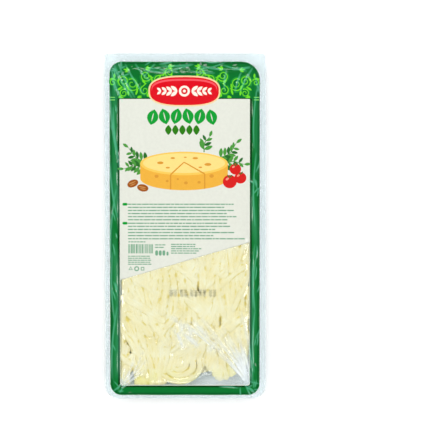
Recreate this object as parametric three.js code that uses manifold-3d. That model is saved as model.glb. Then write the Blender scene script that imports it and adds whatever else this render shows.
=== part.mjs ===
// A flat sealed pack of string cheese: a shallow tray formed from clear film, the cheese strands that
// fill it, and a printed lid film sealed to it all round, with a slanted clear window in its lower half.
// The film is shut tight on what it holds, so the whole pack is one solid. The lid follows the cheese:
// strands stand out under the window, and the film sinks into the pockets that hold none.
//
// Millimetres. x runs across the pack, y along it towards the printed header and z up. The pack lies on
// the flat floor of its tray with its lid up, and the origin is under the middle of its outline.

import * as THREE from 'three';
import { ParametricGeometry } from 'three/addons/geometries/ParametricGeometry.js';
import { mergeVertices } from 'three/addons/utils/BufferGeometryUtils.js';
import Module from 'manifold-3d';

// The sealed flange: its outline, and the clear margins round the print
const packWidth = 129;
const packLength = 276.5;
const flangeThickness = 0.8;
const marginLeft = 4;
const marginRight = 5;
const marginTop = 6.6;
const marginBottom = 2.7;
const topLeftRadius = 1.5;
const topRightRadius = 3;
const bottomRadius = 11;
const edgeRipple = 0.8; // height of the waves along the loose outer edge
const rippleLength = 41;

// The formed tray under it
const sealWidth = 6.7; // from the print's edge to the mouth of the tray
const trayDepth = 7.2;
const mouthRadius = 13;
const wallSlant = 2.6; // how much smaller the floor is than the mouth, on every side
const floorRound = 2.8;
const innerLevel = 2.8; // inside, the tray's solid ends here and the lid's reaches just below it

// The lid over the cheese
const lidRise = 2.4; // above the flange, where strands fill the tray
const shoulderWidth = 9;
const lumpHeight = 0.3;
const lumpLength = 34;
const pockets = [ // where no strand fills the tray, and how far below the flange the lid sinks there
  { x: 45, y: -118, across: 13, along: 18, sag: 2.6 },
  { x: 15, y: -124, across: 9, along: 8, sag: 2.4 },
  { x: -38, y: -123, across: 7, along: 6, sag: 2.2 },
  { x: 0, y: 126, across: 80, along: 13, sag: 1 },
];

// The window, below a slanted edge
const windowEdgeMiddle = -27.5;
const windowEdgeSlope = 0.292;

// The strands under the window
const strandRelief = 1.1; // from the film between strands up to the highest strand
const strandWidth = 5.4;
const strandThickness = 3;
const laneCount = 18;
const laneMiddle = -76; // the lanes are evenly spaced on this line
const crossingCount = 9;
const foldCount = 3;
const foldCentre = { x: -4, y: -106 };

// Gathers in the film, drawn in towards the corners: start, length, direction in degrees
const gathers = [
  { x: 51, y: -125, length: 42, turn: 113 },
  { x: 51.5, y: -124, length: 34, turn: 102 },
  { x: 50, y: -126, length: 26, turn: 126 },
  { x: -49, y: -124, length: 17, turn: 62 },
  { x: -53, y: 124, length: 28, turn: -62 },
  { x: -38, y: 126, length: 16, turn: -50 },
  { x: 44, y: 125, length: 22, turn: -98 },
];
const gatherWidth = 1.8;
const gatherHeight = 0.6;

const halfWidth = packWidth / 2;
const halfLength = packLength / 2;
const flangeTop = trayDepth + flangeThickness;
const mouth = {
  left: -halfWidth + marginLeft + sealWidth,
  right: halfWidth - marginRight - sealWidth,
  bottom: -halfLength + marginBottom + sealWidth,
  top: halfLength - marginTop - sealWidth,
};

const wasm = await Module();
wasm.setup();

function smooth(t) {
  return THREE.MathUtils.smoothstep(t, 0, 1);
}

function chance(strand, draw) {
  // a repeatable draw between 0 and 1
  const wave = Math.sin(strand * 12.9898 + draw * 78.233) * 43758.5453;
  return wave - Math.floor(wave);
}

function bell(x, y, spot) {
  const dx = (x - spot.x) / spot.across;
  const dy = (y - spot.y) / spot.along;
  return Math.exp(-dx * dx - dy * dy);
}

function depthInside(x, y) {
  // distance in from the rounded mouth of the tray, negative on the flange
  const acrossMouth = Math.abs(x - (mouth.left + mouth.right) / 2);
  const alongMouth = Math.abs(y - (mouth.bottom + mouth.top) / 2);
  const qx = acrossMouth - (mouth.right - mouth.left) / 2 + mouthRadius;
  const qy = alongMouth - (mouth.top - mouth.bottom) / 2 + mouthRadius;
  const corner = Math.hypot(Math.max(qx, 0), Math.max(qy, 0));
  return mouthRadius - corner - Math.min(Math.max(qx, qy), 0);
}

function windowEdge(x) {
  return windowEdgeMiddle + windowEdgeSlope * x;
}

function lidHeight(x, y) {
  // the level the film reaches where a strand presses against it
  const over = smooth(depthInside(x, y) / shoulderWidth);
  const lumps = Math.sin((2 * Math.PI * x) / lumpLength + 2 * Math.sin(y / lumpLength));
  const loose = smooth(-depthInside(x, y) / (sealWidth + marginTop));
  const ripple = edgeRipple * loose * Math.sin((2 * Math.PI * (x + y)) / rippleLength);
  const full = lidRise + lumpHeight * lumps;
  const sink = (level, pocket) => THREE.MathUtils.lerp(level, -pocket.sag, bell(x, y, pocket));
  const rise = pockets.reduce(sink, full);
  return flangeTop + ripple + over * rise;
}

function filmHeight(x, y) {
  // the level of the film between the strands
  const shown = smooth((windowEdge(x) - y) / 12) * smooth((depthInside(x, y) - 2) / 6);
  return lidHeight(x, y) - strandRelief * shown;
}

function closedSolid(pointAt, slices, stacks) {
  // a surface whose seam and ends close on themselves, as a solid
  const surface = new ParametricGeometry(pointAt, slices, stacks);
  surface.deleteAttribute('normal');
  surface.deleteAttribute('uv');
  const merged = mergeVertices(surface, 1e-3);
  const corners = merged.index.array;
  const kept = [];
  for (let i = 0; i < corners.length; i += 3) {
    const [a, b, c] = corners.slice(i, i + 3);
    if (a !== b && b !== c && c !== a) kept.push(a, b, c);
  }
  return new wasm.Manifold(new wasm.Mesh({
    numProp: 3,
    vertProperties: merged.attributes.position.array,
    triVerts: Uint32Array.from(kept),
  }));
}

function stops(fromEnds, first, last, middleCount) {
  // grid lines: close together near both ends, evenly spaced between
  const low = fromEnds[0].map((d) => first + d);
  const high = fromEnds[1].map((d) => last - d).reverse();
  const start = low[low.length - 1];
  const step = (high[0] - start) / (middleCount + 1);
  const middle = Array.from({ length: middleCount }, (_, i) => start + step * (i + 1));
  return [...low, ...middle, ...high];
}

function cornerInset(radius, fromEnd) {
  const left = Math.max(radius - fromEnd, 0);
  return radius - Math.sqrt(radius * radius - left * left);
}

function filmSheet() {
  // the flange and the lid: a grid over the outline, with a thin underside below the flange that
  // dips into the tray's solid inside the mouth
  const nearEnds = [
    [0, 0.4, 1.5, 3.2, 5.5, 8, 10.5, 13, 15.5, 18.5],
    [0, 0.4, 1.5, 3, 6.6, 10, 13.3, 15.5, 18, 21, 24],
  ];
  const nearSides = [
    [0, 2, 4, 7.4, 10.7, 12.5, 14.7, 17, 19.7],
    [0, 2.5, 5, 8.4, 11.7, 13.5, 15.7, 18, 20.7],
  ];
  const rows = stops(nearEnds, -halfLength, halfLength, 26);
  const columns = stops(nearSides, -halfWidth, halfWidth, 16);
  const last = columns.length - 1;
  const slices = 2 * (last + 1);
  const stacks = rows.length + 1;

  function pointAt(u, v, target) {
    // once round the section of a row, over the lid and back under it
    const step = Math.round(u * slices) % slices;
    const layer = Math.round(v * stacks);
    const y = rows[THREE.MathUtils.clamp(layer - 1, 0, rows.length - 1)];
    const under = step > last;
    const column = under ? slices - 1 - step : step;
    const fromTop = halfLength - y;
    const fromBottom = y + halfLength;
    const bottomInset = cornerInset(bottomRadius, fromBottom);
    const left = -halfWidth + Math.max(bottomInset, cornerInset(topLeftRadius, fromTop));
    const right = halfWidth - Math.max(bottomInset, cornerInset(topRightRadius, fromTop));
    const x = THREE.MathUtils.mapLinear(columns[column], -halfWidth, halfWidth, left, right);
    const top = filmHeight(x, y);
    const dip = smooth((depthInside(x, y) + 0.5) / 3);
    const bottom = THREE.MathUtils.lerp(top - flangeThickness, innerLevel - 1, dip);
    const atEnd = layer === 0 || layer === stacks; // the end wall closes on its own middle line
    const z = atEnd ? top - flangeThickness / 2 : (under ? bottom : top);
    target.set(x, y, z);
  }
  return closedSolid(pointAt, slices, stacks);
}

function tray() {
  // rings of a rounded rectangle from the middle of the floor, up the slanting wall and in again
  // under the lid
  const cornerSteps = 7;
  const slices = 4 * (cornerSteps + 1);
  const rim = flangeTop - 0.7;
  const levels = [{ inset: 40, z: 0 }];
  for (let i = 0; i <= 4; i++) {
    const turn = (i / 4) * (Math.PI / 2);
    const inset = wallSlant + floorRound * (1 - Math.sin(turn));
    levels.push({ inset, z: floorRound * (1 - Math.cos(turn)) });
  }
  levels.push({ inset: wallSlant / 2, z: (floorRound + rim) / 2 });
  levels.push({ inset: 0, z: rim });
  levels.push({ inset: 2, z: rim });
  levels.push({ inset: 7, z: innerLevel });
  levels.push({ inset: 40, z: innerLevel });
  const stacks = levels.length + 1;

  function pointAt(u, v, target) {
    const layer = Math.round(v * stacks);
    const level = levels[THREE.MathUtils.clamp(layer - 1, 0, levels.length - 1)];
    const step = Math.round(u * slices) % slices;
    const corner = Math.floor(step / (cornerSteps + 1));
    const within = (step % (cornerSteps + 1)) / cornerSteps;
    const angle = (corner + within) * (Math.PI / 2);
    const radius = Math.max(mouthRadius - level.inset, 0.5);
    const reach = level.inset + radius;
    const toRight = corner === 0 || corner === 3;
    const toTop = corner < 2;
    const x = (toRight ? mouth.right - reach : mouth.left + reach) + radius * Math.cos(angle);
    const y = (toTop ? mouth.top - reach : mouth.bottom + reach) + radius * Math.sin(angle);
    const atEnd = layer === 0 || layer === stacks; // the last rings close on the middle point
    const middleX = (mouth.left + mouth.right) / 2;
    const middleY = (mouth.bottom + mouth.top) / 2;
    target.set(atEnd ? middleX : x, atEnd ? middleY : y, level.z);
  }
  return closedSolid(pointAt, slices, stacks);
}

function lean(x, y) {
  // the lay of the strands: how far they drift across for each millimetre towards the header
  const leftSide = { x: -36, y: -75, across: 22, along: 50 };
  const foot = { x: 2, y: -112, across: 20, along: 24 };
  const corner = { x: 42, y: -110, across: 14, along: 26 };
  return -0.32 * bell(x, y, leftSide) + 0.6 * bell(x, y, foot) - 0.3 * bell(x, y, corner);
}

function layStrand(start, end, bias, seed) {
  // a strand that follows the lay from a starting point to the line y = end, wandering a little
  const points = [];
  const stride = Math.sign(end - start.y) * 4;
  let { x, y } = start;
  while ((end - y) * stride > 0) {
    points.push(new THREE.Vector3(x, y, 0));
    const wander = 0.14 * Math.sin(y / 9 + 2 * Math.PI * chance(seed, 1));
    const side = smooth((Math.abs(x) - 40) / 12) * Math.sign(x) * Math.sign(stride) * 0.35;
    const slope = lean(x, y) + bias + wander - side; // kept off the side walls
    const scale = stride / Math.hypot(1, slope);
    x += slope * scale;
    y += scale;
  }
  points.push(new THREE.Vector3(x, y, 0));
  return points;
}

function ribbon(points, width, buried) {
  // a flattened strand along a route, its top following the lid, rounded off at both ends
  const route = new THREE.CatmullRomCurve3(points, false, 'centripetal');
  const steps = Math.max(5, Math.round(route.getLength() / 8));
  const sides = 6;

  function pointAt(u, v, target) {
    const centre = route.getPointAt(THREE.MathUtils.clamp(v, 0, 1));
    const along = route.getTangentAt(THREE.MathUtils.clamp(v, 0, 1));
    const fromEnd = Math.min(v, 1 - v) * steps;
    const girth = Math.sqrt(1 - Math.max(0, 1 - fromEnd) ** 2);
    const turn = 2 * Math.PI * (Math.round(u * sides) % sides) / sides;
    const across = (width / 2) * girth * Math.cos(turn);
    const lift = (strandThickness / 2) * (girth * Math.sin(turn) / Math.sin(Math.PI / 3) - 1);
    const x = centre.x - along.y * across;
    const y = centre.y + along.x * across;
    target.set(x, y, lidHeight(x, y) - buried + lift);
  }
  return closedSolid(pointAt, sides, steps);
}

function footLine(x) {
  // where the lanes end: short of the folded skein and of the empty corner
  const overFolds = bell(x, 0, { x: foldCentre.x, y: 0, across: 17, along: 1 });
  const overCorner = bell(x, 0, { x: mouth.right, y: 0, across: 11, along: 1 });
  return -122 + 16 * overFolds + 13 * overCorner;
}

function lanes() {
  // long strands side by side up the window, and on under the slanted edge of the print
  return Array.from({ length: laneCount }, (_, i) => {
    const x = THREE.MathUtils.lerp(mouth.left + 5, mouth.right - 5, i / (laneCount - 1));
    const bias = 0.1 * (chance(i, 4) - 0.5);
    const start = { x, y: laneMiddle };
    const down = layStrand(start, footLine(x) + 7 * chance(i, 2), bias, i);
    const up = layStrand(start, windowEdge(x) + 4, bias, i);
    const width = strandWidth * (0.85 + 0.5 * chance(i, 3));
    return ribbon([...down.reverse(), ...up.slice(1)], width, 0.15 + 0.45 * chance(i, 5));
  });
}

function crossings() {
  // shorter strands that lie slantwise over the lanes
  return Array.from({ length: crossingCount }, (_, i) => {
    const seed = laneCount + i;
    const x = -42 + 80 * ((i * 0.618) % 1) + 5 * chance(seed, 1);
    const y = -104 + 62 * chance(seed, 2);
    const points = layStrand({ x, y }, y + 22 + 18 * chance(seed, 3), 1.3 * (chance(seed, 4) - 0.5), seed);
    return ribbon(points, strandWidth * (0.8 + 0.4 * chance(seed, 5)), 0.05);
  });
}

function folds() {
  // nested bends at the foot of the pack, where the skein turns back on itself
  return Array.from({ length: foldCount }, (_, i) => {
    const radius = 7 + 5.2 * i;
    const points = [];
    for (let turn = -150; turn <= 20; turn += 17) {
      const angle = THREE.MathUtils.degToRad(turn);
      const x = foldCentre.x + 1.1 * radius * Math.cos(angle);
      points.push(new THREE.Vector3(x, foldCentre.y + 0.85 * radius * Math.sin(angle), 0));
    }
    const end = points[points.length - 1];
    points.push(new THREE.Vector3(end.x + 5, end.y + 12, 0));
    return ribbon(points, strandWidth * 1.05, 0.1);
  });
}

function gather(place) {
  // a low crease that fades out at both ends
  const angle = THREE.MathUtils.degToRad(place.turn);
  const direction = new THREE.Vector2(Math.cos(angle), Math.sin(angle));
  const steps = Math.round(place.length / 4);

  function pointAt(u, v, target) {
    const turn = 2 * Math.PI * (Math.round(u * 4) % 4) / 4;
    const swell = Math.sin(Math.PI * v);
    const across = (gatherWidth / 2) * swell * Math.cos(turn);
    const x = place.x + direction.x * place.length * v - direction.y * across;
    const y = place.y + direction.y * place.length * v + direction.x * across;
    const base = filmHeight(x, y) - 0.3;
    target.set(x, y, base + (gatherHeight + 0.3) * swell * Math.sin(turn));
  }
  return closedSolid(pointAt, 4, steps);
}

function sealedPack() {
  const pieces = [filmSheet(), tray(), ...lanes(), ...crossings(), ...folds(), ...gathers.map(gather)];
  const whole = pieces.reduce((solid, piece) => solid.add(piece));
  const { vertProperties, triVerts } = whole.getMesh();
  const geometry = new THREE.BufferGeometry();
  geometry.setAttribute('position', new THREE.BufferAttribute(vertProperties, 3));
  geometry.setIndex(new THREE.BufferAttribute(triVerts, 1));
  geometry.computeVertexNormals();
  const film = new THREE.MeshStandardMaterial({ color: 0xece8cf, roughness: 0.35, metalness: 0 });
  const mesh = new THREE.Mesh(geometry, film);
  mesh.name = 'sealed_pack';
  return mesh;
}

const pack = new THREE.Group();
pack.add(sealedPack());

export default pack;
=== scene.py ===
import math

import bpy
import numpy as np
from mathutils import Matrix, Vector
from mathutils.geometry import delaunay_2d_cdt


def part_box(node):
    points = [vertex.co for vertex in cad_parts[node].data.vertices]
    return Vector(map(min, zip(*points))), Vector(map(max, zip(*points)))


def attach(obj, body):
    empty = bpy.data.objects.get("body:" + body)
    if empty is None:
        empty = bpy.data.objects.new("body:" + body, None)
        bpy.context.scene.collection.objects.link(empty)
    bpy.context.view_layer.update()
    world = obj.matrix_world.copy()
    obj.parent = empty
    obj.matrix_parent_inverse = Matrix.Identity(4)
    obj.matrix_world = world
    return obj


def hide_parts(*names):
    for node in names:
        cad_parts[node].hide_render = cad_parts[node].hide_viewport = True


# A flat sealed pack of string cheese, lying face up: a clear formed tray, the strands that fill it
# and a printed lid film with a slanted clear window. Lengths are in millimetres and become metres
# as each mesh is made. x runs across the pack, y towards the printed header and z up.

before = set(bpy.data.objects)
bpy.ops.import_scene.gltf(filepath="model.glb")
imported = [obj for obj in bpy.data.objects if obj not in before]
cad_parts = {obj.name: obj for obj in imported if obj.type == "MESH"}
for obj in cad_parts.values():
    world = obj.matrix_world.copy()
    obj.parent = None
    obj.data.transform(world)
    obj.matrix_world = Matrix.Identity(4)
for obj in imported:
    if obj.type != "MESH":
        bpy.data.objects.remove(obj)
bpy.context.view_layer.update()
mm = 0.001
lowCorner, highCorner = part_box("sealed_pack")

pack = {
    "halfWidth": (highCorner[0] - lowCorner[0]) / 2 / mm,
    "halfLength": (highCorner[1] - lowCorner[1]) / 2 / mm,
    "marginLeft": 4.0,  # clear seal outside the print
    "marginRight": 5.0,
    "marginTop": 6.6,
    "marginBottom": 2.7,
    "cornerRadii": (3.0, 1.5, 11.0, 11.0),  # top right, top left, bottom left, bottom right
    "sealWidth": 6.7,  # from the print's edge to the mouth of the tray
    "mouthRadius": 13.0,
    "flangeTop": 8.0,
    "edgeRipple": 0.8,
    "rippleLength": 41.0,
    "lidRise": 2.4,
    "shoulderWidth": 9.0,
    "lumpHeight": 0.3,
    "lumpLength": 34.0,
    "windowMiddle": -27.5,  # where the slanted edge of the print crosses the middle of the pack
    "windowSlope": 0.292,
}

# where no strand fills the tray: x, y, reach across, reach along, how far the lid sinks
pockets = ((45, -118, 13, 18, 2.6), (15, -124, 9, 8, 2.4), (-38, -123, 7, 6, 2.2), (0, 126, 80, 13, 1.0))

printArea = {
    "left": -pack["halfWidth"] + pack["marginLeft"],
    "right": pack["halfWidth"] - pack["marginRight"],
    "bottom": -pack["halfLength"] + pack["marginBottom"],
    "top": pack["halfLength"] - pack["marginTop"],
}
mouth = {
    "left": printArea["left"] + pack["sealWidth"],
    "right": printArea["right"] - pack["sealWidth"],
    "bottom": printArea["bottom"] + pack["sealWidth"],
    "top": printArea["top"] - pack["sealWidth"],
}
packDraw = np.random.default_rng(20)  # draws for the fillers, folds and print, in the order of the script


def smooth(t):
    t = np.clip(t, 0.0, 1.0)
    return t * t * (3 - 2 * t)


def chance(strand, draw):  # a repeatable draw between 0 and 1
    wave = math.sin(strand * 12.9898 + draw * 78.233) * 43758.5453
    return wave - math.floor(wave)


def bell(x, y, midX, midY, across, along):
    return np.exp(-(((x - midX) / across) ** 2) - ((y - midY) / along) ** 2)


def depthInside(x, y):  # distance in from the mouth of the tray, negative on the flange
    halfX = (mouth["right"] - mouth["left"]) / 2 - pack["mouthRadius"]
    halfY = (mouth["top"] - mouth["bottom"]) / 2 - pack["mouthRadius"]
    qx = np.abs(x - (mouth["left"] + mouth["right"]) / 2) - halfX
    qy = np.abs(y - (mouth["bottom"] + mouth["top"]) / 2) - halfY
    corner = np.hypot(np.maximum(qx, 0), np.maximum(qy, 0))
    return pack["mouthRadius"] - corner - np.minimum(np.maximum(qx, qy), 0)


def windowEdge(x):  # the slanted line where the print ends and the window begins
    return pack["windowMiddle"] + pack["windowSlope"] * x


def lidHeight(x, y):  # the level the film reaches where a strand presses against it
    depth = depthInside(x, y)
    lumps = np.sin(2 * np.pi * x / pack["lumpLength"] + 2 * np.sin(y / pack["lumpLength"]))
    loose = smooth(-depth / (pack["sealWidth"] + pack["marginTop"]))
    ripple = pack["edgeRipple"] * loose * np.sin(2 * np.pi * (x + y) / pack["rippleLength"])
    rise = pack["lidRise"] + pack["lumpHeight"] * lumps
    for midX, midY, across, along, sag in pockets:
        share = bell(x, y, midX, midY, across, along)
        rise = rise * (1 - share) - sag * share
    return pack["flangeTop"] + ripple + smooth(depth / pack["shoulderWidth"]) * rise


filmMap = {  # the grid of heights that the film is worked out on
    "step": 0.5,
    "edge": 1.0,  # past the pack's outline
    "nothing": 50.0,  # the level, up or down, where the map holds no surface
    "rounds": 500,
    "pull": 0.012,  # how far the vacuum draws the film in each round
    "clearance": 0.2,  # between a strand and the underside of the film
    "contact": 0.14,  # and where a crease presses on the strand
    "evening": 90,  # rounds that level the film under the print
    "slack": 1.2,  # the film sinks no further than this between strands
    "slackReach": 6.0,  # from the mouth in to where it sinks as far
    "stiffReach": (5.0, 4.0),  # from the window's edge and from the mouth to where the print stiffens it
    "seal": 0.6,  # the film is free from this far inside the mouth
}
pastEdge = filmMap["edge"] + filmMap["step"]
columnsX = np.arange(-pack["halfWidth"] - filmMap["edge"], pack["halfWidth"] + pastEdge, filmMap["step"])
rowsY = np.arange(-pack["halfLength"] - filmMap["edge"], pack["halfLength"] + pastEdge, filmMap["step"])
mapX, mapY = np.meshgrid(columnsX, rowsY)


# The cheese: strands laid side by side up the pack in layers, with slanting ones over them and the
# skein's bends at its foot

cheese = {
    "strandWidth": 5.4,
    "strandThickness": 3.0,
    "headroom": 0.45,  # left above the strands for the film and its creases
    "pressed": 1.12,  # how much wider the vacuum has pressed them
    "laneCount": 18,
    "laneMiddle": -76.0,
    "headEnd": 113.0,
    "crossingCount": 9,
    "strayCount": 46,
    "foldCount": 3,
    "foldCentre": (-5.0, -111.0),
    "layerCount": 4,
    "foldRadius": 5.0,  # of the innermost bend
    "foldSpacing": 5.15,
    "floorLevel": 1.9,  # middle of the lowest strands
    "stride": 1.6,  # between the points of a route
    "leans": (  # slope, x, y, reach across and along
        (-0.32, -36, -75, 22, 50), (0.6, 2, -112, 20, 24), (-0.3, 42, -110, 14, 26),
    ),
    "wander": 0.14,  # how far a strand strays from the lay, as a slope
    "wallTurn": 0.35,  # the slope that keeps strands off the tray's side walls
    "feet": ((-4, 12, 12), (50, 12, 24), (26, 8, 4), (15, 7, 17)),  # x, reach, rise of the line
    "footLine": -128.2,
    "tipLength": 2.4,  # over which an end rounds off
    "fillerCount": 220,  # strands laid at most over what the others leave bare
    "bareShare": 0.009,  # of the window may stay bare
    "bareDepth": 2.4,  # a spot this far below the lid is bare
    "bareTop": 40.0,  # above this line the print hides what is bare
    "bareEdge": 1.4,  # nor does it matter this close to the wall
    "wallGap": 2.9,  # from a filler's middle to the wall
}


def lean(x, y):  # how far the strands drift across for each millimetre towards the header
    return sum(slope * bell(x, y, *place) for slope, *place in cheese["leans"])


def layStrand(x, y, end, bias, seed):  # follows the lay from a point to the line y = end
    points = []
    stride = math.copysign(cheese["stride"], end - y)
    phase = 2 * math.pi * chance(seed, 1)
    while (end - y) * stride > 0:
        points.append((x, y))
        wander = cheese["wander"] * math.sin(y / 9 + phase)
        nearWall = float(smooth((abs(x) - 40) / 12))
        side = nearWall * math.copysign(cheese["wallTurn"], x) * math.copysign(1, stride)
        slope = float(lean(x, y)) + bias + wander - side
        scale = stride / math.hypot(1, slope)
        x += slope * scale
        y += scale
    points.append((x, y))
    return points


def footLine(x):  # where the lowest strands end
    rises = [rise * np.exp(-(((x - midX) / reach) ** 2)) for midX, reach, rise in cheese["feet"]]
    return cheese["footLine"] + sum(rises)


def lanes(layer):  # strands side by side, up the length of the pack
    strands = []
    for i in range(cheese["laneCount"]):
        seed = i + 100 * layer
        spread = i / (cheese["laneCount"] - 1)
        x = mouth["left"] + 5 + (mouth["right"] - mouth["left"] - 10) * spread
        bias = (0.1 + 0.06 * layer) * (chance(seed, 4) - 0.5)
        foot = float(footLine(x)) + 1.4 * chance(seed, 2) + 3.6 * min(layer, 1)
        down = layStrand(x, cheese["laneMiddle"], foot, bias, seed)
        up = layStrand(x, cheese["laneMiddle"], cheese["headEnd"] - 9 * chance(seed, 6), bias / 3, seed)
        width = cheese["strandWidth"] * (0.85 + 0.5 * chance(seed, 3))
        buried = 0.35 + 0.45 * chance(seed, 5)
        strands.append({"route": down[::-1] + up[1:], "width": width, "buried": buried, "layer": layer})
    return strands


def crossings():  # long strands on a slant
    strands = []
    for i in range(cheese["crossingCount"]):
        seed = cheese["laneCount"] + i
        x = -42 + 80 * ((i * 0.618) % 1) + 5 * chance(seed, 1)
        y = -104 + 62 * chance(seed, 2)
        route = layStrand(x, y, y + 22 + 18 * chance(seed, 3), 1.3 * (chance(seed, 4) - 0.5), seed)
        width = cheese["strandWidth"] * (0.8 + 0.4 * chance(seed, 5))
        strands.append({"route": route, "width": width, "buried": 0.0, "layer": 0})
    return strands


def strays():  # short ones that slant across the others
    strands = []
    for i in range(cheese["strayCount"]):
        seed = 300 + i
        x = -44 + 86 * ((i * 0.618) % 1) + 5 * chance(seed, 1)
        y = -112 + 108 * ((i * 0.755) % 1)
        bias = math.copysign(0.35 + 1.1 * chance(seed, 4), chance(seed, 7) - 0.5)
        route = layStrand(x, y, y + 9 + 15 * chance(seed, 3), bias, seed)
        width = cheese["strandWidth"] * (0.75 + 0.55 * chance(seed, 5))
        strands.append({"route": route, "width": width, "buried": 0.2 * chance(seed, 6), "layer": 0})
    return strands


def fillBare(surface):  # short strands over the bare spots
    inTray = depthInside(mapX, mapY) > cheese["bareEdge"]
    room = inTray & (mapY > footLine(mapX)) & (mapY < cheese["bareTop"])
    level = lidHeight(mapX, mapY) - cheese["bareDepth"]
    added = []
    for i in range(cheese["fillerCount"]):
        bare = np.argwhere(room & (surface < level))
        if len(bare) < cheese["bareShare"] * room.sum():
            break
        row, column = bare[int(packDraw.random() * len(bare))]
        gap = cheese["wallGap"]
        x = float(np.clip(columnsX[column], mouth["left"] + gap, mouth["right"] - gap))
        y = float(max(rowsY[row], mouth["bottom"] + cheese["tipLength"]))
        seed = 500 + i
        reach = 11 + 14 * chance(seed, 1)
        bias = 0.9 * (chance(seed, 4) - 0.5)
        down = layStrand(x, y, max(y - reach, float(footLine(x))), bias, seed)
        up = layStrand(x, y, y + reach, bias, seed)
        width = cheese["strandWidth"] * (0.85 + 0.5 * chance(seed, 3))
        buried = 0.3 + 0.6 * chance(seed, 5)
        strand = {"route": down[::-1] + up[1:], "width": width, "buried": buried, "layer": 0}
        if len(strand["route"]) < 8:  # too short to lie there: the spot stays bare
            room[max(row - 3, 0) : row + 4, max(column - 3, 0) : column + 4] = False
            continue
        added.append(shapeStrand(strand, seed))
        surface = np.maximum(surface, strandSurface([strand], 1))
    return added


def bends():  # nested bends where the skein turns back on itself
    strands = []
    midX, midY = cheese["foldCentre"]
    for i in range(cheese["foldCount"]):
        radius = cheese["foldRadius"] + cheese["foldSpacing"] * i
        turns = np.radians(np.arange(-150, 21, 6))
        route = [(midX + 1.1 * radius * math.cos(t), midY + 0.85 * radius * math.sin(t)) for t in turns]
        endX, endY = route[-1]
        route += [(endX + 5 * s, endY + 12 * s) for s in (0.15, 0.35, 0.55, 0.75, 1.0)]
        width = cheese["strandWidth"] * 0.85
        strands.append({"route": route, "width": width, "buried": 0.1, "layer": 0})
    return strands


def shapeStrand(strand, seed):  # adds the level, half width and sideways tilt along the route
    route = np.array(strand["route"])
    x, y = route[:, 0], route[:, 1]
    along = np.gradient(route, axis=0)
    along /= np.linalg.norm(along, axis=1, keepdims=True)
    across = np.stack([-along[:, 1], along[:, 0]], axis=1)
    top = lidHeight(x, y)
    reach = 1.5
    left = lidHeight(x + reach * across[:, 0], y + reach * across[:, 1])
    right = lidHeight(x - reach * across[:, 0], y - reach * across[:, 1])
    half = cheese["strandThickness"] / 2
    share = strand["layer"] / (cheese["layerCount"] - 1)
    length = np.cumsum(np.hypot(*np.gradient(route, axis=0).T))
    swell = 1 + 0.1 * np.sin(length / 11 + 7 * chance(seed, 8)) + 0.06 * np.sin(length / 4.3 + seed)
    fromEnd = np.minimum(length - length[0], length[-1] - length)
    tip = np.sqrt(np.clip(1 - (1 - np.clip(fromEnd / cheese["tipLength"], 0, 1)) ** 2, 0.02, 1))
    underPrint = 0.4 * smooth((y - windowEdge(x)) / 12)
    weave = 0.14 * np.sin(length / 17 + 5 * chance(seed, 9))  # passes under and over its neighbours
    middle = top - half - strand["buried"] - cheese["headroom"] + weave - underPrint
    strand["points"] = np.stack([x, y, middle * (1 - share) + cheese["floorLevel"] * share], axis=1)
    strand["halfWidth"] = strand["width"] / 2 * cheese["pressed"] * swell * tip
    strand["tilt"] = np.arctan2(left - right, 2 * reach) * (1 - share)
    strand["across"] = across
    strand["seed"] = seed
    return strand


def strandSurface(strands, side):  # side 1: highest level of the strands, -1: lowest
    surface = np.full(mapX.shape, -side * filmMap["nothing"])
    gather = np.maximum if side > 0 else np.minimum
    for strand in strands:
        count = len(strand["points"]) * 4
        place = np.linspace(0, len(strand["points"]) - 1, count)
        whole = np.arange(len(strand["points"]))
        x, y, z = (np.interp(place, whole, strand["points"][:, axis]) for axis in range(3))
        acrossX, acrossY = (np.interp(place, whole, strand["across"][:, axis]) for axis in range(2))
        half = np.interp(place, whole, strand["halfWidth"])
        tilt = np.interp(place, whole, strand["tilt"])
        for share in np.linspace(-1, 1, 25):
            offset = share * half
            lift = side * cheese["strandThickness"] / 2 * (1 - abs(share) ** 3) ** (1 / 3)
            i = np.rint((y + acrossY * offset - rowsY[0]) / filmMap["step"]).astype(int)
            j = np.rint((x + acrossX * offset - columnsX[0]) / filmMap["step"]).astype(int)
            gather.at(surface, (i, j), z + np.tan(tilt) * offset + lift)
    return surface


laidOnTop = lanes(0) + crossings() + bends() + strays()
upperStrands = [shapeStrand(strand, seed) for seed, strand in enumerate(laidOnTop)]
upperStrands += fillBare(strandSurface(upperStrands, 1))
laidBelow = [strand for layer in range(1, cheese["layerCount"]) for strand in lanes(layer)]
lowerStrands = [shapeStrand(strand, 60 + seed) for seed, strand in enumerate(laidBelow)]
print("strands laid:", len(upperStrands), "and", len(lowerStrands))


# Materials

tints = {
    "milkAndSheenTeal": "6CD8AE",
    "milkAndGlareFilm": "F0F6F8",
    "curdThread": "F0DFA2",
    "curdCream": "F8F1D4",
    "flankShade": "E2CB58",
    "pooledWhey": "F0E68C",
    "paintedGlowYellow": "EEE286",
    "paper": "FAFBFB",
    "paperGrain": "FDFDFD",
}


def hexColour(code):
    parts = [int(code[i : i + 2], 16) / 255 for i in (0, 2, 4)]
    return [(c / 12.92 if c <= 0.04045 else ((c + 0.055) / 1.055) ** 2.4) for c in parts] + [1.0]


def addNode(tree, kind, inputs=None, **settings):  # a node with its settings, values and links
    node = tree.nodes.new(kind)
    for name, value in settings.items():
        setattr(node, name, value)
    for name, value in (inputs or {}).items():
        if isinstance(value, bpy.types.NodeSocket):
            tree.links.new(value, node.inputs[name])
        else:
            node.inputs[name].default_value = value
    return node


def newMaterial(name):
    material = bpy.data.materials.new(name)
    material.use_nodes = True
    material.node_tree.nodes.clear()
    return material, material.node_tree


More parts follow.
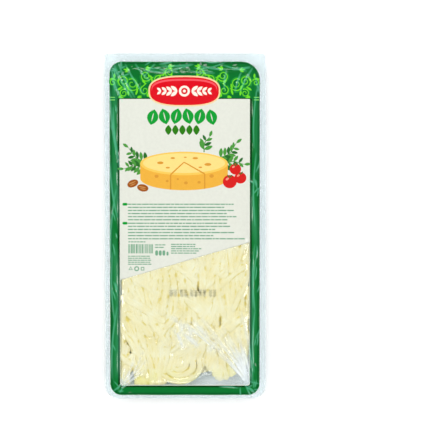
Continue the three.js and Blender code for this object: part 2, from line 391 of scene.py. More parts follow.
def printedFilm():
    # laminated polyamide film printed on its inner side: flat inks seen through a glossy skin, with
    # a faint mottle in the solid colours and a fine handled waviness in the gloss
    material, tree = newMaterial("reversePrintedLaminate")
    inked = addNode(tree, "ShaderNodeAttribute", attribute_name="ink").outputs["Color"]
    # the haze attribute mixes the inks towards a pale teal: milky whitening on the creases with painted
    # glints over them, and painted sheen in streaks along the side bands
    haze = addNode(tree, "ShaderNodeAttribute", attribute_name="haze").outputs["Fac"]
    colour = addNode(tree, "ShaderNodeMix", {
        0: haze, 6: inked, 7: hexColour(tints["milkAndSheenTeal"]),
    }, data_type="RGBA").outputs[2]
    place = addNode(tree, "ShaderNodeTexCoord").outputs["Object"]
    mottle = addNode(tree, "ShaderNodeTexNoise", {
        "Vector": place, "Scale": 1 / (2.2 * mm), "Detail": 3.0,
    }).outputs["Fac"]
    shift = addNode(tree, "ShaderNodeMapRange", {
        "Value": mottle, "To Min": 0.94, "To Max": 1.05,
    }).outputs["Result"]
    tinted = addNode(tree, "ShaderNodeHueSaturation", {"Color": colour, "Value": shift})
    waves = addNode(tree, "ShaderNodeTexNoise", {
        "Vector": place, "Scale": 1 / (7 * mm), "Detail": 2.0,
    }).outputs["Fac"]
    bump = addNode(tree, "ShaderNodeBump", {"Height": waves, "Strength": 0.1, "Distance": 0.5 * mm})
    shader = addNode(tree, "ShaderNodeBsdfPrincipled", {
        "Base Color": tinted.outputs["Color"],
        "Roughness": 0.15,
        "IOR": 1.65,
        "Normal": bump.outputs["Normal"],
    })
    addNode(tree, "ShaderNodeOutputMaterial", {"Surface": shader.outputs["BSDF"]})
    return material


def clearFilm(name, tint, waviness, gloss, haze=None):
    # clear polyamide and polyethylene film: nearly unseen face on, with sharp highlights on its
    # creases and a cool grey where two thicknesses are welded
    material, tree = newMaterial(name)
    place = addNode(tree, "ShaderNodeTexCoord").outputs["Object"]
    waves = addNode(tree, "ShaderNodeTexNoise", {
        "Vector": place, "Scale": 1 / (4 * mm), "Detail": 3.0,
    }).outputs["Fac"]
    bump = addNode(tree, "ShaderNodeBump", {
        "Height": waves, "Strength": waviness, "Distance": 0.5 * mm,
    }).outputs["Normal"]
    clear = addNode(tree, "ShaderNodeBsdfTransparent", {"Color": hexColour(tint)}).outputs["BSDF"]
    shine = addNode(tree, "ShaderNodeBsdfGlossy", {"Roughness": 0.12, "Normal": bump}).outputs["BSDF"]
    facing = addNode(tree, "ShaderNodeLayerWeight", {"Blend": 0.5, "Normal": bump}).outputs["Facing"]
    turned = addNode(tree, "ShaderNodeMath", {0: facing, 1: 5.0}, operation="POWER").outputs["Value"]
    share = addNode(tree, "ShaderNodeMapRange", {
        "Value": turned, "To Min": gloss, "To Max": 0.6,
    }).outputs["Result"]
    film = addNode(tree, "ShaderNodeMixShader", {0: share, 1: clear, 2: shine}).outputs["Shader"]
    milkAndGlare = addNode(tree, "ShaderNodeBsdfDiffuse", {"Color": hexColour(tints["milkAndGlareFilm"])}).outputs["BSDF"]
    if haze is None:  # the lid turns milky where it is creased and welded, and in patches that are partly painted glare
        haze = addNode(tree, "ShaderNodeAttribute", attribute_name="haze").outputs["Fac"]
    film = addNode(tree, "ShaderNodeMixShader", {0: haze, 1: film, 2: milkAndGlare}).outputs["Shader"]
    addNode(tree, "ShaderNodeOutputMaterial", {"Surface": film})
    return material


def stretchedCurd():
    # string cheese: curd pulled into threads, cream and a little see-through, with fine fibres along
    # each strand, painted yellow shade on the flanks where strands meet and a moist satin surface
    material, tree = newMaterial("stretchedCurd")
    fibre = addNode(tree, "ShaderNodeAttribute", attribute_name="fibre").outputs["Vector"]
    place = addNode(tree, "ShaderNodeTexCoord").outputs["Object"]
    threads = addNode(tree, "ShaderNodeTexNoise", {
        "Vector": fibre, "Scale": 3.2, "Detail": 4.0, "Roughness": 0.6,
    }).outputs["Fac"]
    clouds = addNode(tree, "ShaderNodeTexNoise", {
        "Vector": place, "Scale": 1 / (12 * mm), "Detail": 2.0,
    }).outputs["Fac"]
    both = addNode(tree, "ShaderNodeMath", {0: threads, 1: clouds}, operation="ADD").outputs["Value"]
    share = addNode(tree, "ShaderNodeMapRange", {
        "Value": both, "From Min": 0.7, "From Max": 1.35,
    }).outputs["Result"]
    colour = addNode(tree, "ShaderNodeMix", {
        0: share, 6: hexColour(tints["curdThread"]), 7: hexColour(tints["curdCream"]),
    }, data_type="RGBA").outputs[2]

    # painted shade: darker yellow in spots along the flanks of the strands, where they meet their neighbours
    across = addNode(tree, "ShaderNodeSeparateXYZ", {"Vector": fibre}).outputs["X"]
    outer = addNode(tree, "ShaderNodeMath", {0: across}, operation="ABSOLUTE").outputs["Value"]
    flank = addNode(tree, "ShaderNodeMapRange", {
        "Value": outer, "From Min": 0.52, "From Max": 0.92,
    }).outputs["Result"]
    spots = addNode(tree, "ShaderNodeTexNoise", {
        "Vector": place, "Scale": 1 / (4.5 * mm), "Detail": 2.0,
    }).outputs["Fac"]
    some = addNode(tree, "ShaderNodeMapRange", {
        "Value": spots, "From Min": 0.48, "From Max": 0.6, "To Max": 0.9,
    }).outputs["Result"]
    flankShade = addNode(tree, "ShaderNodeMath", {0: flank, 1: some}, operation="MULTIPLY").outputs["Value"]
    colour = addNode(tree, "ShaderNodeMix", {
        0: flankShade, 6: colour, 7: hexColour(tints["flankShade"]),
    }, data_type="RGBA").outputs[2]

    # whey that has pooled at the foot of the pack
    spot = addNode(tree, "ShaderNodeSeparateXYZ", {"Vector": place}).outputs
    pooled = addNode(tree, "ShaderNodeMapRange", {
        "Value": spot["Y"], "From Min": -112 * mm, "From Max": -127 * mm,
    }).outputs["Result"]
    patchy = addNode(tree, "ShaderNodeMapRange", {
        "Value": clouds, "From Min": 0.38, "From Max": 0.58, "To Max": 0.8,
    }).outputs["Result"]
    damp = addNode(tree, "ShaderNodeMath", {0: pooled, 1: patchy}, operation="MULTIPLY").outputs["Value"]
    colour = addNode(tree, "ShaderNodeMix", {
        0: damp, 6: colour, 7: hexColour(tints["pooledWhey"]),
    }, data_type="RGBA").outputs[2]

    # painted glow: the curd is painted yellower down in the gaps, for light that has passed through it, but
    # not on the underside
    depth = addNode(tree, "ShaderNodeMapRange", {
        "Value": spot["Z"], "From Min": 7.8 * mm, "From Max": 5.4 * mm,
    }).outputs["Result"]
    above = addNode(tree, "ShaderNodeMapRange", {
        "Value": spot["Z"], "From Min": 3.6 * mm, "From Max": 5.2 * mm,
    }).outputs["Result"]
    gap = addNode(tree, "ShaderNodeMath", {0: depth, 1: above}, operation="MULTIPLY").outputs["Value"]
    colour = addNode(tree, "ShaderNodeMix", {
        0: gap, 6: colour, 7: hexColour(tints["paintedGlowYellow"]),
    }, data_type="RGBA").outputs[2]
    bump = addNode(tree, "ShaderNodeBump", {"Height": threads, "Strength": 0.6, "Distance": 0.3 * mm})
    shader = addNode(tree, "ShaderNodeBsdfPrincipled", {
        "Base Color": colour,
        "Roughness": 0.45,
        "IOR": 1.46,
        "Normal": bump.outputs["Normal"],
    })
    addNode(tree, "ShaderNodeOutputMaterial", {"Surface": shader.outputs["BSDF"]})
    return material


def floorPaper():
    # matt white backdrop paper with a faint grain
    material, tree = newMaterial("floorPaper")
    place = addNode(tree, "ShaderNodeTexCoord").outputs["Object"]
    grain = addNode(tree, "ShaderNodeTexNoise", {
        "Vector": place, "Scale": 1 / (3 * mm), "Detail": 2.0,
    }).outputs["Fac"]
    colour = addNode(tree, "ShaderNodeMix", {
        0: grain, 6: hexColour(tints["paper"]), 7: hexColour(tints["paperGrain"]),
    }, data_type="RGBA")
    shader = addNode(tree, "ShaderNodeBsdfPrincipled", {"Base Color": colour.outputs[2], "Roughness": 0.8})
    addNode(tree, "ShaderNodeOutputMaterial", {"Surface": shader.outputs["BSDF"]})
    return material


# The strands' mesh, by Geometry Nodes along the routes

def strandNodes():
    tree = bpy.data.node_groups.new("flattenedStrands", "GeometryNodeTree")
    tree.is_modifier = True
    face = tree.interface
    face.new_socket("Geometry", in_out="INPUT", socket_type="NodeSocketGeometry")
    for label, kind, value in (
        ("Step", "NodeSocketFloat", 1.8 * mm),
        ("Half Thickness", "NodeSocketFloat", cheese["strandThickness"] / 2 * mm),
        ("Sides", "NodeSocketInt", 20),
        ("Squareness", "NodeSocketFloat", 3.0),
        ("Ridge Depth", "NodeSocketFloat", 0.26 * mm),
        ("Ridge Scale", "NodeSocketFloat", 2.4),
        ("Material", "NodeSocketMaterial", None),
    ):
        socket = face.new_socket(label, in_out="INPUT", socket_type=kind)
        if value is not None:
            socket.default_value = value
    face.new_socket("Geometry", in_out="OUTPUT", socket_type="NodeSocketGeometry")
    given = addNode(tree, "NodeGroupInput").outputs
    halfWidth, tilt, seed, alongNow = (
        addNode(tree, "GeometryNodeInputNamedAttribute", {"Name": name}, data_type="FLOAT").outputs[0]
        for name in ("halfWidth", "strandTilt", "strandSeed", "alongStrand")
    )

    routes = addNode(tree, "GeometryNodeMeshToCurve", {"Mesh": given["Geometry"]}).outputs["Curve"]
    routes = addNode(tree, "GeometryNodeResampleCurve", {
        "Curve": routes, "Length": given["Step"],
    }, mode="LENGTH").outputs["Curve"]
    routes = addNode(tree, "GeometryNodeSetCurveNormal", {"Curve": routes}, mode="Z_UP").outputs["Curve"]
    routes = addNode(tree, "GeometryNodeSetCurveTilt", {"Curve": routes, "Tilt": tilt}).outputs["Curve"]
    along = addNode(tree, "GeometryNodeSplineParameter").outputs["Length"]
    routes = addNode(tree, "GeometryNodeStoreNamedAttribute", {
        "Geometry": routes, "Name": "alongStrand", "Value": along,
    }, data_type="FLOAT", domain="POINT").outputs["Geometry"]

    # the section: a circle pressed to a rounded bar, one unit to each side
    circle = addNode(tree, "GeometryNodeCurvePrimitiveCircle", {
        "Resolution": given["Sides"], "Radius": 1.0,
    }).outputs["Curve"]
    spot = addNode(tree, "GeometryNodeInputPosition").outputs["Position"]
    size = addNode(tree, "ShaderNodeVectorMath", {0: spot}, operation="ABSOLUTE").outputs["Vector"]
    power = addNode(tree, "ShaderNodeMath", {
        0: 2.0, 1: given["Squareness"],
    }, operation="DIVIDE").outputs["Value"]
    powers = addNode(tree, "ShaderNodeCombineXYZ", {"X": power, "Y": power, "Z": 1.0}).outputs["Vector"]
    pressed = addNode(tree, "ShaderNodeVectorMath", {0: size, 1: powers}, operation="POWER").outputs["Vector"]
    sign = addNode(tree, "ShaderNodeVectorMath", {0: spot}, operation="SIGN").outputs["Vector"]
    section = addNode(tree, "ShaderNodeVectorMath", {
        0: pressed, 1: sign,
    }, operation="MULTIPLY").outputs["Vector"]
    circle = addNode(tree, "GeometryNodeSetPosition", {
        "Geometry": circle, "Position": section,
    }).outputs["Geometry"]
    circle = addNode(tree, "GeometryNodeStoreNamedAttribute", {
        "Geometry": circle, "Name": "section", "Value": section,
    }, data_type="FLOAT_VECTOR", domain="POINT").outputs["Geometry"]
    tubes = addNode(tree, "GeometryNodeCurveToMesh", {
        "Curve": routes, "Profile Curve": circle, "Scale": halfWidth, "Fill Caps": True,
    }).outputs["Mesh"]

    # Curve to Mesh scales the section by the half width both ways: bring its height back
    sectionNow = addNode(tree, "GeometryNodeInputNamedAttribute", {
        "Name": "section",
    }, data_type="FLOAT_VECTOR").outputs["Attribute"]
    flatPart = addNode(tree, "ShaderNodeSeparateXYZ", {"Vector": sectionNow}).outputs
    excess = addNode(tree, "ShaderNodeMath", {
        0: halfWidth, 1: given["Half Thickness"],
    }, operation="SUBTRACT").outputs["Value"]
    drop = addNode(tree, "ShaderNodeMath", {
        0: excess, 1: flatPart["Y"],
    }, operation="MULTIPLY").outputs["Value"]
    shift = addNode(tree, "ShaderNodeCombineXYZ", {"Z": drop}).outputs["Vector"]
    tubes = addNode(tree, "GeometryNodeSetPosition", {"Geometry": tubes, "Offset": shift}).outputs["Geometry"]

    # ridges that run along each strand, where its threads part
    slow = addNode(tree, "ShaderNodeMath", {0: alongNow, 1: 22.0}, operation="MULTIPLY").outputs["Value"]
    seedStep = addNode(tree, "ShaderNodeMath", {0: seed, 1: 3.7}, operation="MULTIPLY").outputs["Value"]
    depth = addNode(tree, "ShaderNodeMath", {0: slow, 1: seedStep}, operation="ADD").outputs["Value"]
    fibre = addNode(tree, "ShaderNodeCombineXYZ", {
        "X": flatPart["X"], "Y": flatPart["Y"], "Z": depth,
    }).outputs["Vector"]
    ridges = addNode(tree, "ShaderNodeTexNoise", {
        "Vector": fibre, "Scale": given["Ridge Scale"], "Detail": 2.0,
    }).outputs["Fac"]
    centred = addNode(tree, "ShaderNodeMath", {0: ridges, 1: 0.55}, operation="SUBTRACT").outputs["Value"]
    reach = addNode(tree, "ShaderNodeMath", {
        0: centred, 1: given["Ridge Depth"],
    }, operation="MULTIPLY").outputs["Value"]
    reach = addNode(tree, "ShaderNodeMath", {0: reach, 1: 2.0}, operation="MULTIPLY").outputs["Value"]
    outward = addNode(tree, "GeometryNodeInputNormal").outputs["Normal"]
    push = addNode(tree, "ShaderNodeVectorMath", {
        0: outward, "Scale": reach,
    }, operation="SCALE").outputs["Vector"]
    tubes = addNode(tree, "GeometryNodeSetPosition", {"Geometry": tubes, "Offset": push}).outputs["Geometry"]
    tubes = addNode(tree, "GeometryNodeStoreNamedAttribute", {
        "Geometry": tubes, "Name": "fibre", "Value": fibre,
    }, data_type="FLOAT_VECTOR", domain="POINT").outputs["Geometry"]
    tubes = addNode(tree, "GeometryNodeSetShadeSmooth", {"Geometry": tubes}).outputs["Geometry"]
    tubes = addNode(tree, "GeometryNodeRealizeInstances", {"Geometry": tubes}).outputs["Geometry"]
    tubes = addNode(tree, "GeometryNodeSetMaterial", {
        "Geometry": tubes, "Material": given["Material"],
    }).outputs["Geometry"]
    addNode(tree, "NodeGroupOutput", {"Geometry": tubes})
    return tree


def strandPiece(name, strands, tree, inputs):  # the routes' wires, made strands by the tree
    mesh = bpy.data.meshes.new(name + "Routes")
    points = np.concatenate([strand["points"] for strand in strands]) * mm
    edges = []
    start = 0
    for strand in strands:
        count = len(strand["points"])
        edges += [(start + i, start + i + 1) for i in range(count - 1)]
        start += count
    mesh.from_pydata(points.tolist(), edges, [])
    for label, values, scale in (
        ("halfWidth", [strand["halfWidth"] for strand in strands], mm),
        ("strandTilt", [strand["tilt"] for strand in strands], 1.0),
        ("strandSeed", [np.full(len(strand["points"]), strand["seed"]) for strand in strands], 1.0),
    ):
        layer = mesh.attributes.new(label, "FLOAT", "POINT")
        layer.data.foreach_set("value", np.concatenate(values).astype(np.float32) * np.float32(scale))
    host = bpy.data.objects.new(name + "Routes", mesh)
    bpy.context.collection.objects.link(host)
    modifier = host.modifiers.new("strands", "NODES")
    modifier.node_group = tree
    sockets = [item for item in tree.interface.items_tree if item.in_out == "INPUT"]
    identifiers = {socket.name: socket.identifier for socket in sockets}
    for label, value in inputs.items():
        modifier[identifiers[label]] = value
    host.update_tag()
    bpy.context.view_layer.update()
    evaluated = host.evaluated_get(bpy.context.evaluated_depsgraph_get())
    solid = bpy.data.meshes.new_from_object(evaluated)
    solid.name = name
    bpy.data.objects.remove(host, do_unlink=True)
    piece = bpy.data.objects.new(name, solid)
    bpy.context.collection.objects.link(piece)
    return piece


curd = stretchedCurd()
strandTree = strandNodes()
fine = {"Step": 1.7 * mm, "Sides": 20, "Material": curd}
coarse = {"Step": 3.5 * mm, "Sides": 14, "Material": curd}  # the lower strands are mostly hidden
upperCheese = strandPiece("upperCheese", upperStrands, strandTree, fine)
lowerCheese = strandPiece("lowerCheese", lowerStrands, strandTree, coarse)
print("cheese made:", len(upperCheese.data.polygons), len(lowerCheese.data.polygons))


# The film over the cheese: a height map of the lid, drawn down between the strands

def meshSurface(piece):  # the highest level of a finished mesh over each point of the map
    surface = np.full(mapX.shape, -filmMap["nothing"])
    shares = [(i / 4, j / 4, (4 - i - j) / 4) for i in range(5) for j in range(5 - i)]  # on a triangle
    mesh = piece.data
    mesh.calc_loop_triangles()
    places = np.zeros(len(mesh.vertices) * 3, np.float32)
    mesh.vertices.foreach_get("co", places)
    corners = np.zeros(len(mesh.loop_triangles) * 3, np.int32)
    mesh.loop_triangles.foreach_get("vertices", corners)
    spots = places.reshape(-1, 3)[corners.reshape(-1, 3)] / mm
    for share in shares:
        x, y, z = (spots[:, :, axis] @ np.array(share) for axis in range(3))
        i = np.rint((y - rowsY[0]) / filmMap["step"]).astype(int)
        j = np.rint((x - columnsX[0]) / filmMap["step"]).astype(int)
        np.maximum.at(surface, (i, j), z)
    return surface


def levelled(film):  # each point of the map at the mean of its neighbours
    return (film[:-2, 1:-1] + film[2:, 1:-1] + film[1:-1, :-2] + film[1:-1, 2:]) / 4


def drawDown(start, obstacle, inside, side):  # a film stretched over an obstacle under vacuum
    film = start.copy()
    for _ in range(filmMap["rounds"]):
        mean = film.copy()
        mean[1:-1, 1:-1] = levelled(film)
        moved = mean - side * filmMap["pull"]
        moved = np.maximum(moved, obstacle) if side > 0 else np.minimum(moved, obstacle)
        film = np.where(inside, moved, start)
    return film


insideMouth = depthInside(mapX, mapY) > filmMap["seal"]
ceiling = lidHeight(mapX, mapY)
fromSeal = depthInside(mapX, mapY) - 1
sunk = ceiling - filmMap["slack"] * smooth(fromSeal / filmMap["slackReach"])
touching = meshSurface(upperCheese)
spread = touching.copy()
for shiftY, shiftX in ((0, 1), (0, -1), (1, 0), (-1, 0)):
    spread = np.maximum(spread, np.roll(touching, (shiftY, shiftX), axis=(0, 1)))
support = np.maximum(spread + filmMap["clearance"], sunk)
contact = np.where(insideMouth, spread + filmMap["contact"], -filmMap["nothing"])
lidMap = drawDown(ceiling, support, insideMouth, 1)
even = lidMap.copy()
for _ in range(filmMap["evening"]):  # the print stiffens the film, which bridges the strands
    even[1:-1, 1:-1] = levelled(even)
fromWindow, inFromSeal = filmMap["stiffReach"]
stiff = smooth((mapY - windowEdge(mapX)) / fromWindow) * smooth(fromSeal / inFromSeal)
lidMap += (even - lidMap) * stiff
print("film drawn down")


# Creases, pleats and short folds in the lid

creases = (  # x, y, length, direction in degrees, crest, half width
    (-57, 129, 31, -61, 0.64, 1.35),
    (-53, 129.5, 30, -64, 0.57, 1.2),
    (-59, 122, 25, -68, 0.51, 1.1),
    (-48, 130, 30, -58, 0.51, 1.1),
    (-40, 130, 18, -50, 0.51, 1.1),
    (-24, 130, 13, -130, 0.47, 1.0),
    (33, 126, 18, -96, 0.51, 1.1),
    (45, 124, 18, -108, 0.51, 1.1),
    (54, 127, 22, -118, 0.51, 1.1),
    (56, 120, 16, -75, 0.41, 0.9),
    (-34, 125.5, 20, -7, 0.51, 1.1),
    (-20, 128, 26, 4, 0.51, 1.1),
    (2, 124.5, 22, -5, 0.47, 1.0),
    (10, 128.5, 24, -8, 0.47, 1.0),
    (30, 129, 20, -14, 0.47, 1.0),
    (-60, 108, 66, -82.5, 0.51, 1.1),
    (-57.5, 96, 44, -84, 0.47, 1.0),
    (-60, 52, 46, -83, 0.51, 1.1),
    (-55.5, 30, 60, -94, 0.47, 1.0),
    (-58.5, -20, 60, -88, 0.47, 1.0),
    (-54.8, -64, 60, -94, 0.51, 1.1),
    (57.5, 112, 50, -93, 0.41, 0.9),
    (56.8, 60, 60, -91, 0.41, 0.9),
    (57.4, -20, 46, -94, 0.41, 0.9),
    (55.4, -14, 56, -89.5, 0.47, 0.9),
    (55.9, -66, 52, -91, 0.47, 0.9),
    (-59, -133, 14, 42, 0.47, 1.0),
    (-53, -134, 10, 66, 0.41, 0.9),
    (46, -126, 13, -38, 0.51, 1.0),
    (48, -127, 12, -62, 0.51, 1.0),
    (44, -129, 10, -86, 0.47, 0.9),
    (50, -124, 10, -14, 0.47, 0.9),
    (43, -130, 16, 176, 0.41, 0.9),
)
fans = (  # pleats that spread from the corners: x, y, turns from and to, shortest, longest, count
    (51.5, -127.5, 98, 139, 28, 76, 14),
    (-50.5, -127.5, 34, 78, 12, 32, 8),
)
scatter = (  # short folds: x, y, reach across and along, turns, shortest, longest, half width, rise, count
    (6, -92, 13, 11, (116, 128, 140, 74), 9, 20, 2.9, 0.24, 10),
    (56, 30, 2, 6, (40, 95, 150), 4, 7, 0.9, 0.47, 5),
    (53, -131, 4, 3, (20, 80, 140), 4, 7, 0.8, 0.47, 5),
    (-53, -131, 4, 3, (20, 80, 140), 4, 7, 0.8, 0.47, 5),
    (-50, 124, 6, 4, (10, 120, 150), 5, 8, 0.9, 0.47, 7),
    (0, 128, 42, 3, (-12, 8, 22), 8, 18, 0.9, 0.47, 14),
)
nicks = {  # small ones along the seal
    "count": 22,
    "inner": 54.5,
    "outer": 57.5,
    "reach": 125,
    "crest": 0.4,
    "halfWidth": 0.8,
}
foldShape = {"bow": 0.03, "crestRound": 0.02, "pleatTaper": 0.7}  # the bow is a share of a fold's length
crumple = {  # facets of loose film
    "patches": (  # middle x, y, reach across, along, slope
        (4, -92, 17, 18, 0.1), (36, -104, 14, 24, 0.06), (-44, -121, 10, 12, 0.12), (0, -80, 60, 60, 0.035),
        (-34, 121, 22, 8, 0.1), (10, 126, 30, 6, 0.1), (-56, 60, 5, 50, 0.02), (56, 20, 5, 80, 0.02),
    ),
    "waves": ((7.5, 12), (11.0, 55), (9.0, 98), (13.5, 141), (6.0, 165)),  # length, direction
    "wander": 2.6,
}
rim = {  # the film's lip round the mouth of the tray
    "rise": 0.62,
    "reach": 1.05,
    "rings": (-1.7, -1.0, -0.45, 0.0, 0.45, 1.0, 1.7),  # where the lid's net follows it
}
roof = {"level": highCorner[2] / mm + 0.28, "room": 0.35}  # creases are squeezed into the last of the height
hazingAndGlare = {  # how milky the film is, from 0 to 1: whitening where it is creased and welded, with painted glare and painted sheen laid over it
    "clear": 0.01,
    "folded": 0.2,
    "sealed": 0.12,
    "printed": 0.45,
    "bands": 0.13,
    "sheenBandPlace": (54.8, 3.0),  # where painted sheen streaks run along the side bands: from the middle of the pack, and reach
    "patches": (  # milky patches on the clear lid, partly painted glare over its pleats: x, y, reach across and along, amount
        (45, -115, 10, 15, 0.4), (5, -93, 17, 13, 0.2), (-45, -122, 8, 8, 0.15), (22, -125, 16, 6, 0.45),
    ),
}


def gatherFolds():  # x, y, length, direction, crest, half width and taper of every fold
    folds = [(*crease, 0.0) for crease in creases]
    for x, y, turnFrom, turnTo, shortest, longest, count in fans:
        for i in range(count):
            turn = turnFrom + (turnTo - turnFrom) * (i + 0.8 * packDraw.random()) / count
            length = packDraw.uniform(shortest, longest)
            width = 1.2 + longest * packDraw.uniform(0.011, 0.025)
            startX = x + 3 * packDraw.uniform(-1, 1)
            crest = width * packDraw.uniform(0.2, 0.5)
            folds.append((startX, y, length, turn, crest, width, foldShape["pleatTaper"]))
    for x, y, across, along, turns, shortest, longest, width, rise, count in scatter:
        for i in range(count):
            length = packDraw.uniform(shortest, longest)
            turn = turns[i % len(turns)] + 12 * packDraw.normal()
            startX, startY = x + across * packDraw.uniform(-1, 1), y + along * packDraw.uniform(-1, 1)
            wide = width * packDraw.uniform(0.8, 1.25)
            folds.append((startX, startY, length, turn, wide * rise, wide, 0.0))
    for _ in range(nicks["count"]):
        side = 1 if packDraw.random() > 0.5 else -1
        x = side * packDraw.uniform(nicks["inner"], nicks["outer"])
        y = packDraw.uniform(-nicks["reach"], nicks["reach"])
        length = packDraw.uniform(4, 12)
        turn = 90 - side * 25 * packDraw.random()
        folds.append((x, y, length, turn, nicks["crest"], nicks["halfWidth"], 0.0))
    return folds


def tent(x, y, fold):  # height of a fold with flat sides at any points, and its share of the crest
    startX, startY, length, turn, crest, width, taper = fold
    dirX, dirY = math.cos(math.radians(turn)), math.sin(math.radians(turn))
    along = ((x - startX) * dirX + (y - startY) * dirY) / length
    across = (y - startY) * dirX - (x - startX) * dirY + length * foldShape["bow"] * np.sin(along * math.pi)
    along = np.clip(along, 0, 1)
    widen = 1 - taper * (1 - along)
    swell = np.sqrt(np.clip(np.sin(along * math.pi), 0, 1))
    share = swell * np.maximum(1 - np.sqrt((across / (width * widen)) ** 2 + foldShape["crestRound"]), 0)
    return crest * widen * share, share


def foldLines(fold, step):  # the crest and the two feet of a fold, as lines for the lid's net
    startX, startY, length, turn, _, width, taper = fold
    dirX, dirY = math.cos(math.radians(turn)), math.sin(math.radians(turn))
    share = np.linspace(0.03, 0.97, max(3, math.ceil(length / step)))
    lines = []
    for side in (-1, 0, 1):
        off = side * width * (1 - taper * (1 - share)) - length * foldShape["bow"] * np.sin(share * math.pi)
        lines.append(np.column_stack([
            startX + dirX * length * share - dirY * off,
            startY + dirY * length * share + dirX * off,
        ]))
    return lines


def addCrumple(height):  # sets of straight folds that cross, strongest where the film is loose
    bendX = crumple["wander"] * np.sin(mapY / 11 + 1.3 * np.sin(mapX / 17))
    bendY = crumple["wander"] * np.sin(mapX / 13 + 1.7 * np.sin(mapY / 19))
    folds = np.zeros(mapX.shape)
    for length, turn in crumple["waves"]:
        along = (mapX + bendX) * math.cos(math.radians(turn)) + (mapY + bendY) * math.sin(math.radians(turn))
        share = along / length + packDraw.random()
        folds += length * (np.abs(share - np.floor(share) - 0.5) - 0.25)
    for midX, midY, across, along, slope in crumple["patches"]:
        height = height + slope * folds * bell(mapX, mapY, midX, midY, across, along)
    return height


def mapAt(field, x, y):  # a map's value between its points
    col = np.clip((x - columnsX[0]) / filmMap["step"], 0, len(columnsX) - 1.001)
    row = np.clip((y - rowsY[0]) / filmMap["step"], 0, len(rowsY) - 1.001)
    j, i = col.astype(int), row.astype(int)
    u, v = col - j, row - i
    low = field[i, j] * (1 - u) + field[i, j + 1] * u
    high = field[i + 1, j] * (1 - u) + field[i + 1, j + 1] * u
    return low * (1 - v) + high * v


folds = gatherFolds()
lidMap = addCrumple(lidMap)
print("lid creased:", len(folds), "folds")


def filmHeight(x, y):  # the creased lid at any points
    along = y + 0.6 * x  # the lip swells and wanders a little as it goes round
    depth = depthInside(x, y) + 0.3 * np.sin(along / 13)
    swell = 0.82 + 0.18 * np.sin(along / 6.3 + 2 * np.sin(along / 19))
    edge = rim["rise"] * swell * np.exp(-((depth / rim["reach"]) ** 2)) * smooth((y + 132) / 20)
    rise = np.max([tent(x, y, fold)[0] for fold in folds], axis=0)
    height = np.maximum(mapAt(lidMap, x, y) + edge + rise, mapAt(contact, x, y))
    level, room = roof["level"], roof["room"]
    return np.where(height > level - room, level - room * np.exp(-(height - level + room) / room), height)


def filmHazeAndGlare(x, y, printed):  # how milky the film has turned where it is folded and welded, partly whitening and partly painted glare, with painted sheen along the side bands
    share = np.max([tent(x, y, fold)[1] for fold in folds], axis=0)
    if not printed:
        weld = smooth(-depthInside(x, y) / 1.5)
        milk = hazingAndGlare["clear"] + hazingAndGlare["folded"] * share
        # milky patches, partly painted glare over the pleats
        for midX, midY, across, along, amount in hazingAndGlare["patches"]:
            milk += amount * bell(x, y, midX, midY, across, along) * (0.5 + share)
        return milk * (1 - weld) + hazingAndGlare["sealed"] * (1 + share) * weld
    # painted sheen: pale streaks along the printed side bands, standing in for their reflections
    bandX, reach = hazingAndGlare["sheenBandPlace"]
    sides = np.exp(-(((np.abs(x) - bandX) / reach) ** 2)) * smooth((y + 126) / 12)
    sheenStreaks = 0.5 + 0.5 * np.sin(y / 23 + x / 2.1 + 2 * np.sin(y / 31))
    return hazingAndGlare["printed"] * share + hazingAndGlare["bands"] * sides * sheenStreaks


# Shapes of the print, each a closed outline with the name of its ink

def arc(midX, midY, radiusX, radiusY, start, end, steps):
    turns = np.radians(np.linspace(start, end, steps))
    return [(midX + radiusX * math.cos(t), midY + radiusY * math.sin(t)) for t in turns]


def cornerArcs(left, right, bottom, top, radii):  # x, y, radius and first turn, from the top right round
    corners = ((right, top, -1, -1), (left, top, 1, -1), (left, bottom, 1, 1), (right, bottom, -1, 1))
    arcs = zip(corners, radii, (0, 90, 180, 270))
    return [(x + inX * radius, y + inY * radius, radius, start) for (x, y, inX, inY), radius, start in arcs]


def roundRect(left, right, bottom, top, radii):
    outline = []
    for x, y, radius, start in cornerArcs(left, right, bottom, top, radii):
        outline += arc(x, y, radius, radius, start, start + 90, 10)
    return outline


def oval(midX, midY, radiusX, radiusY, power=2.0, turn=0.0, steps=40):  # squarer with a higher power
    outline = []
    for t in np.linspace(0, 2 * math.pi, steps, endpoint=False):
        c, s = math.cos(t), math.sin(t)
        x = radiusX * math.copysign(abs(c) ** (2 / power), c)
        y = radiusY * math.copysign(abs(s) ** (2 / power), s)
        a = math.radians(turn)
        outline.append((midX + x * math.cos(a) - y * math.sin(a), midY + x * math.sin(a) + y * math.cos(a)))
    return outline


def leaf(x, y, length, width, turn):  # pointed at both ends, from its stalk end at x, y
    a = math.radians(turn)
    share = np.linspace(0, 1, 9)
    upper = [(length * s, width / 2 * math.sin(math.pi * s) ** 0.8) for s in share]
    lower = [(length * s, -width / 2 * math.sin(math.pi * s) ** 0.8) for s in share[-2:0:-1]]
    c, s = math.cos(a), math.sin(a)
    return [(x + u * c - v * s, y + u * s + v * c) for u, v in upper + lower]


def stroke(points, startWidth, endWidth):  # a line of changing width along a route
    route = np.array(points, float)
    along = np.gradient(route, axis=0)
    along /= np.linalg.norm(along, axis=1, keepdims=True)
    across = np.stack([-along[:, 1], along[:, 0]], axis=1)
    half = np.linspace(startWidth, endWidth, len(route))[:, None] / 2
    left, right = route + across * half, route - across * half
    return [tuple(p) for p in np.concatenate([left, right[::-1]])]


def curl(midX, midY, radius, start, turns, side, width):  # a spiral stroke that winds inwards
    share = np.linspace(0, 1, int(26 * turns))
    points = []
    for s in share:
        angle = math.radians(start) + side * 2 * math.pi * turns * s
        r = radius * (1 - 0.82 * s)
        points.append((midX + r * math.cos(angle), midY + r * math.sin(angle)))
    return stroke(points, width, width * 0.5)


def bar(left, right, bottom, top):
    return [(left, bottom), (right, bottom), (right, top), (left, top)]


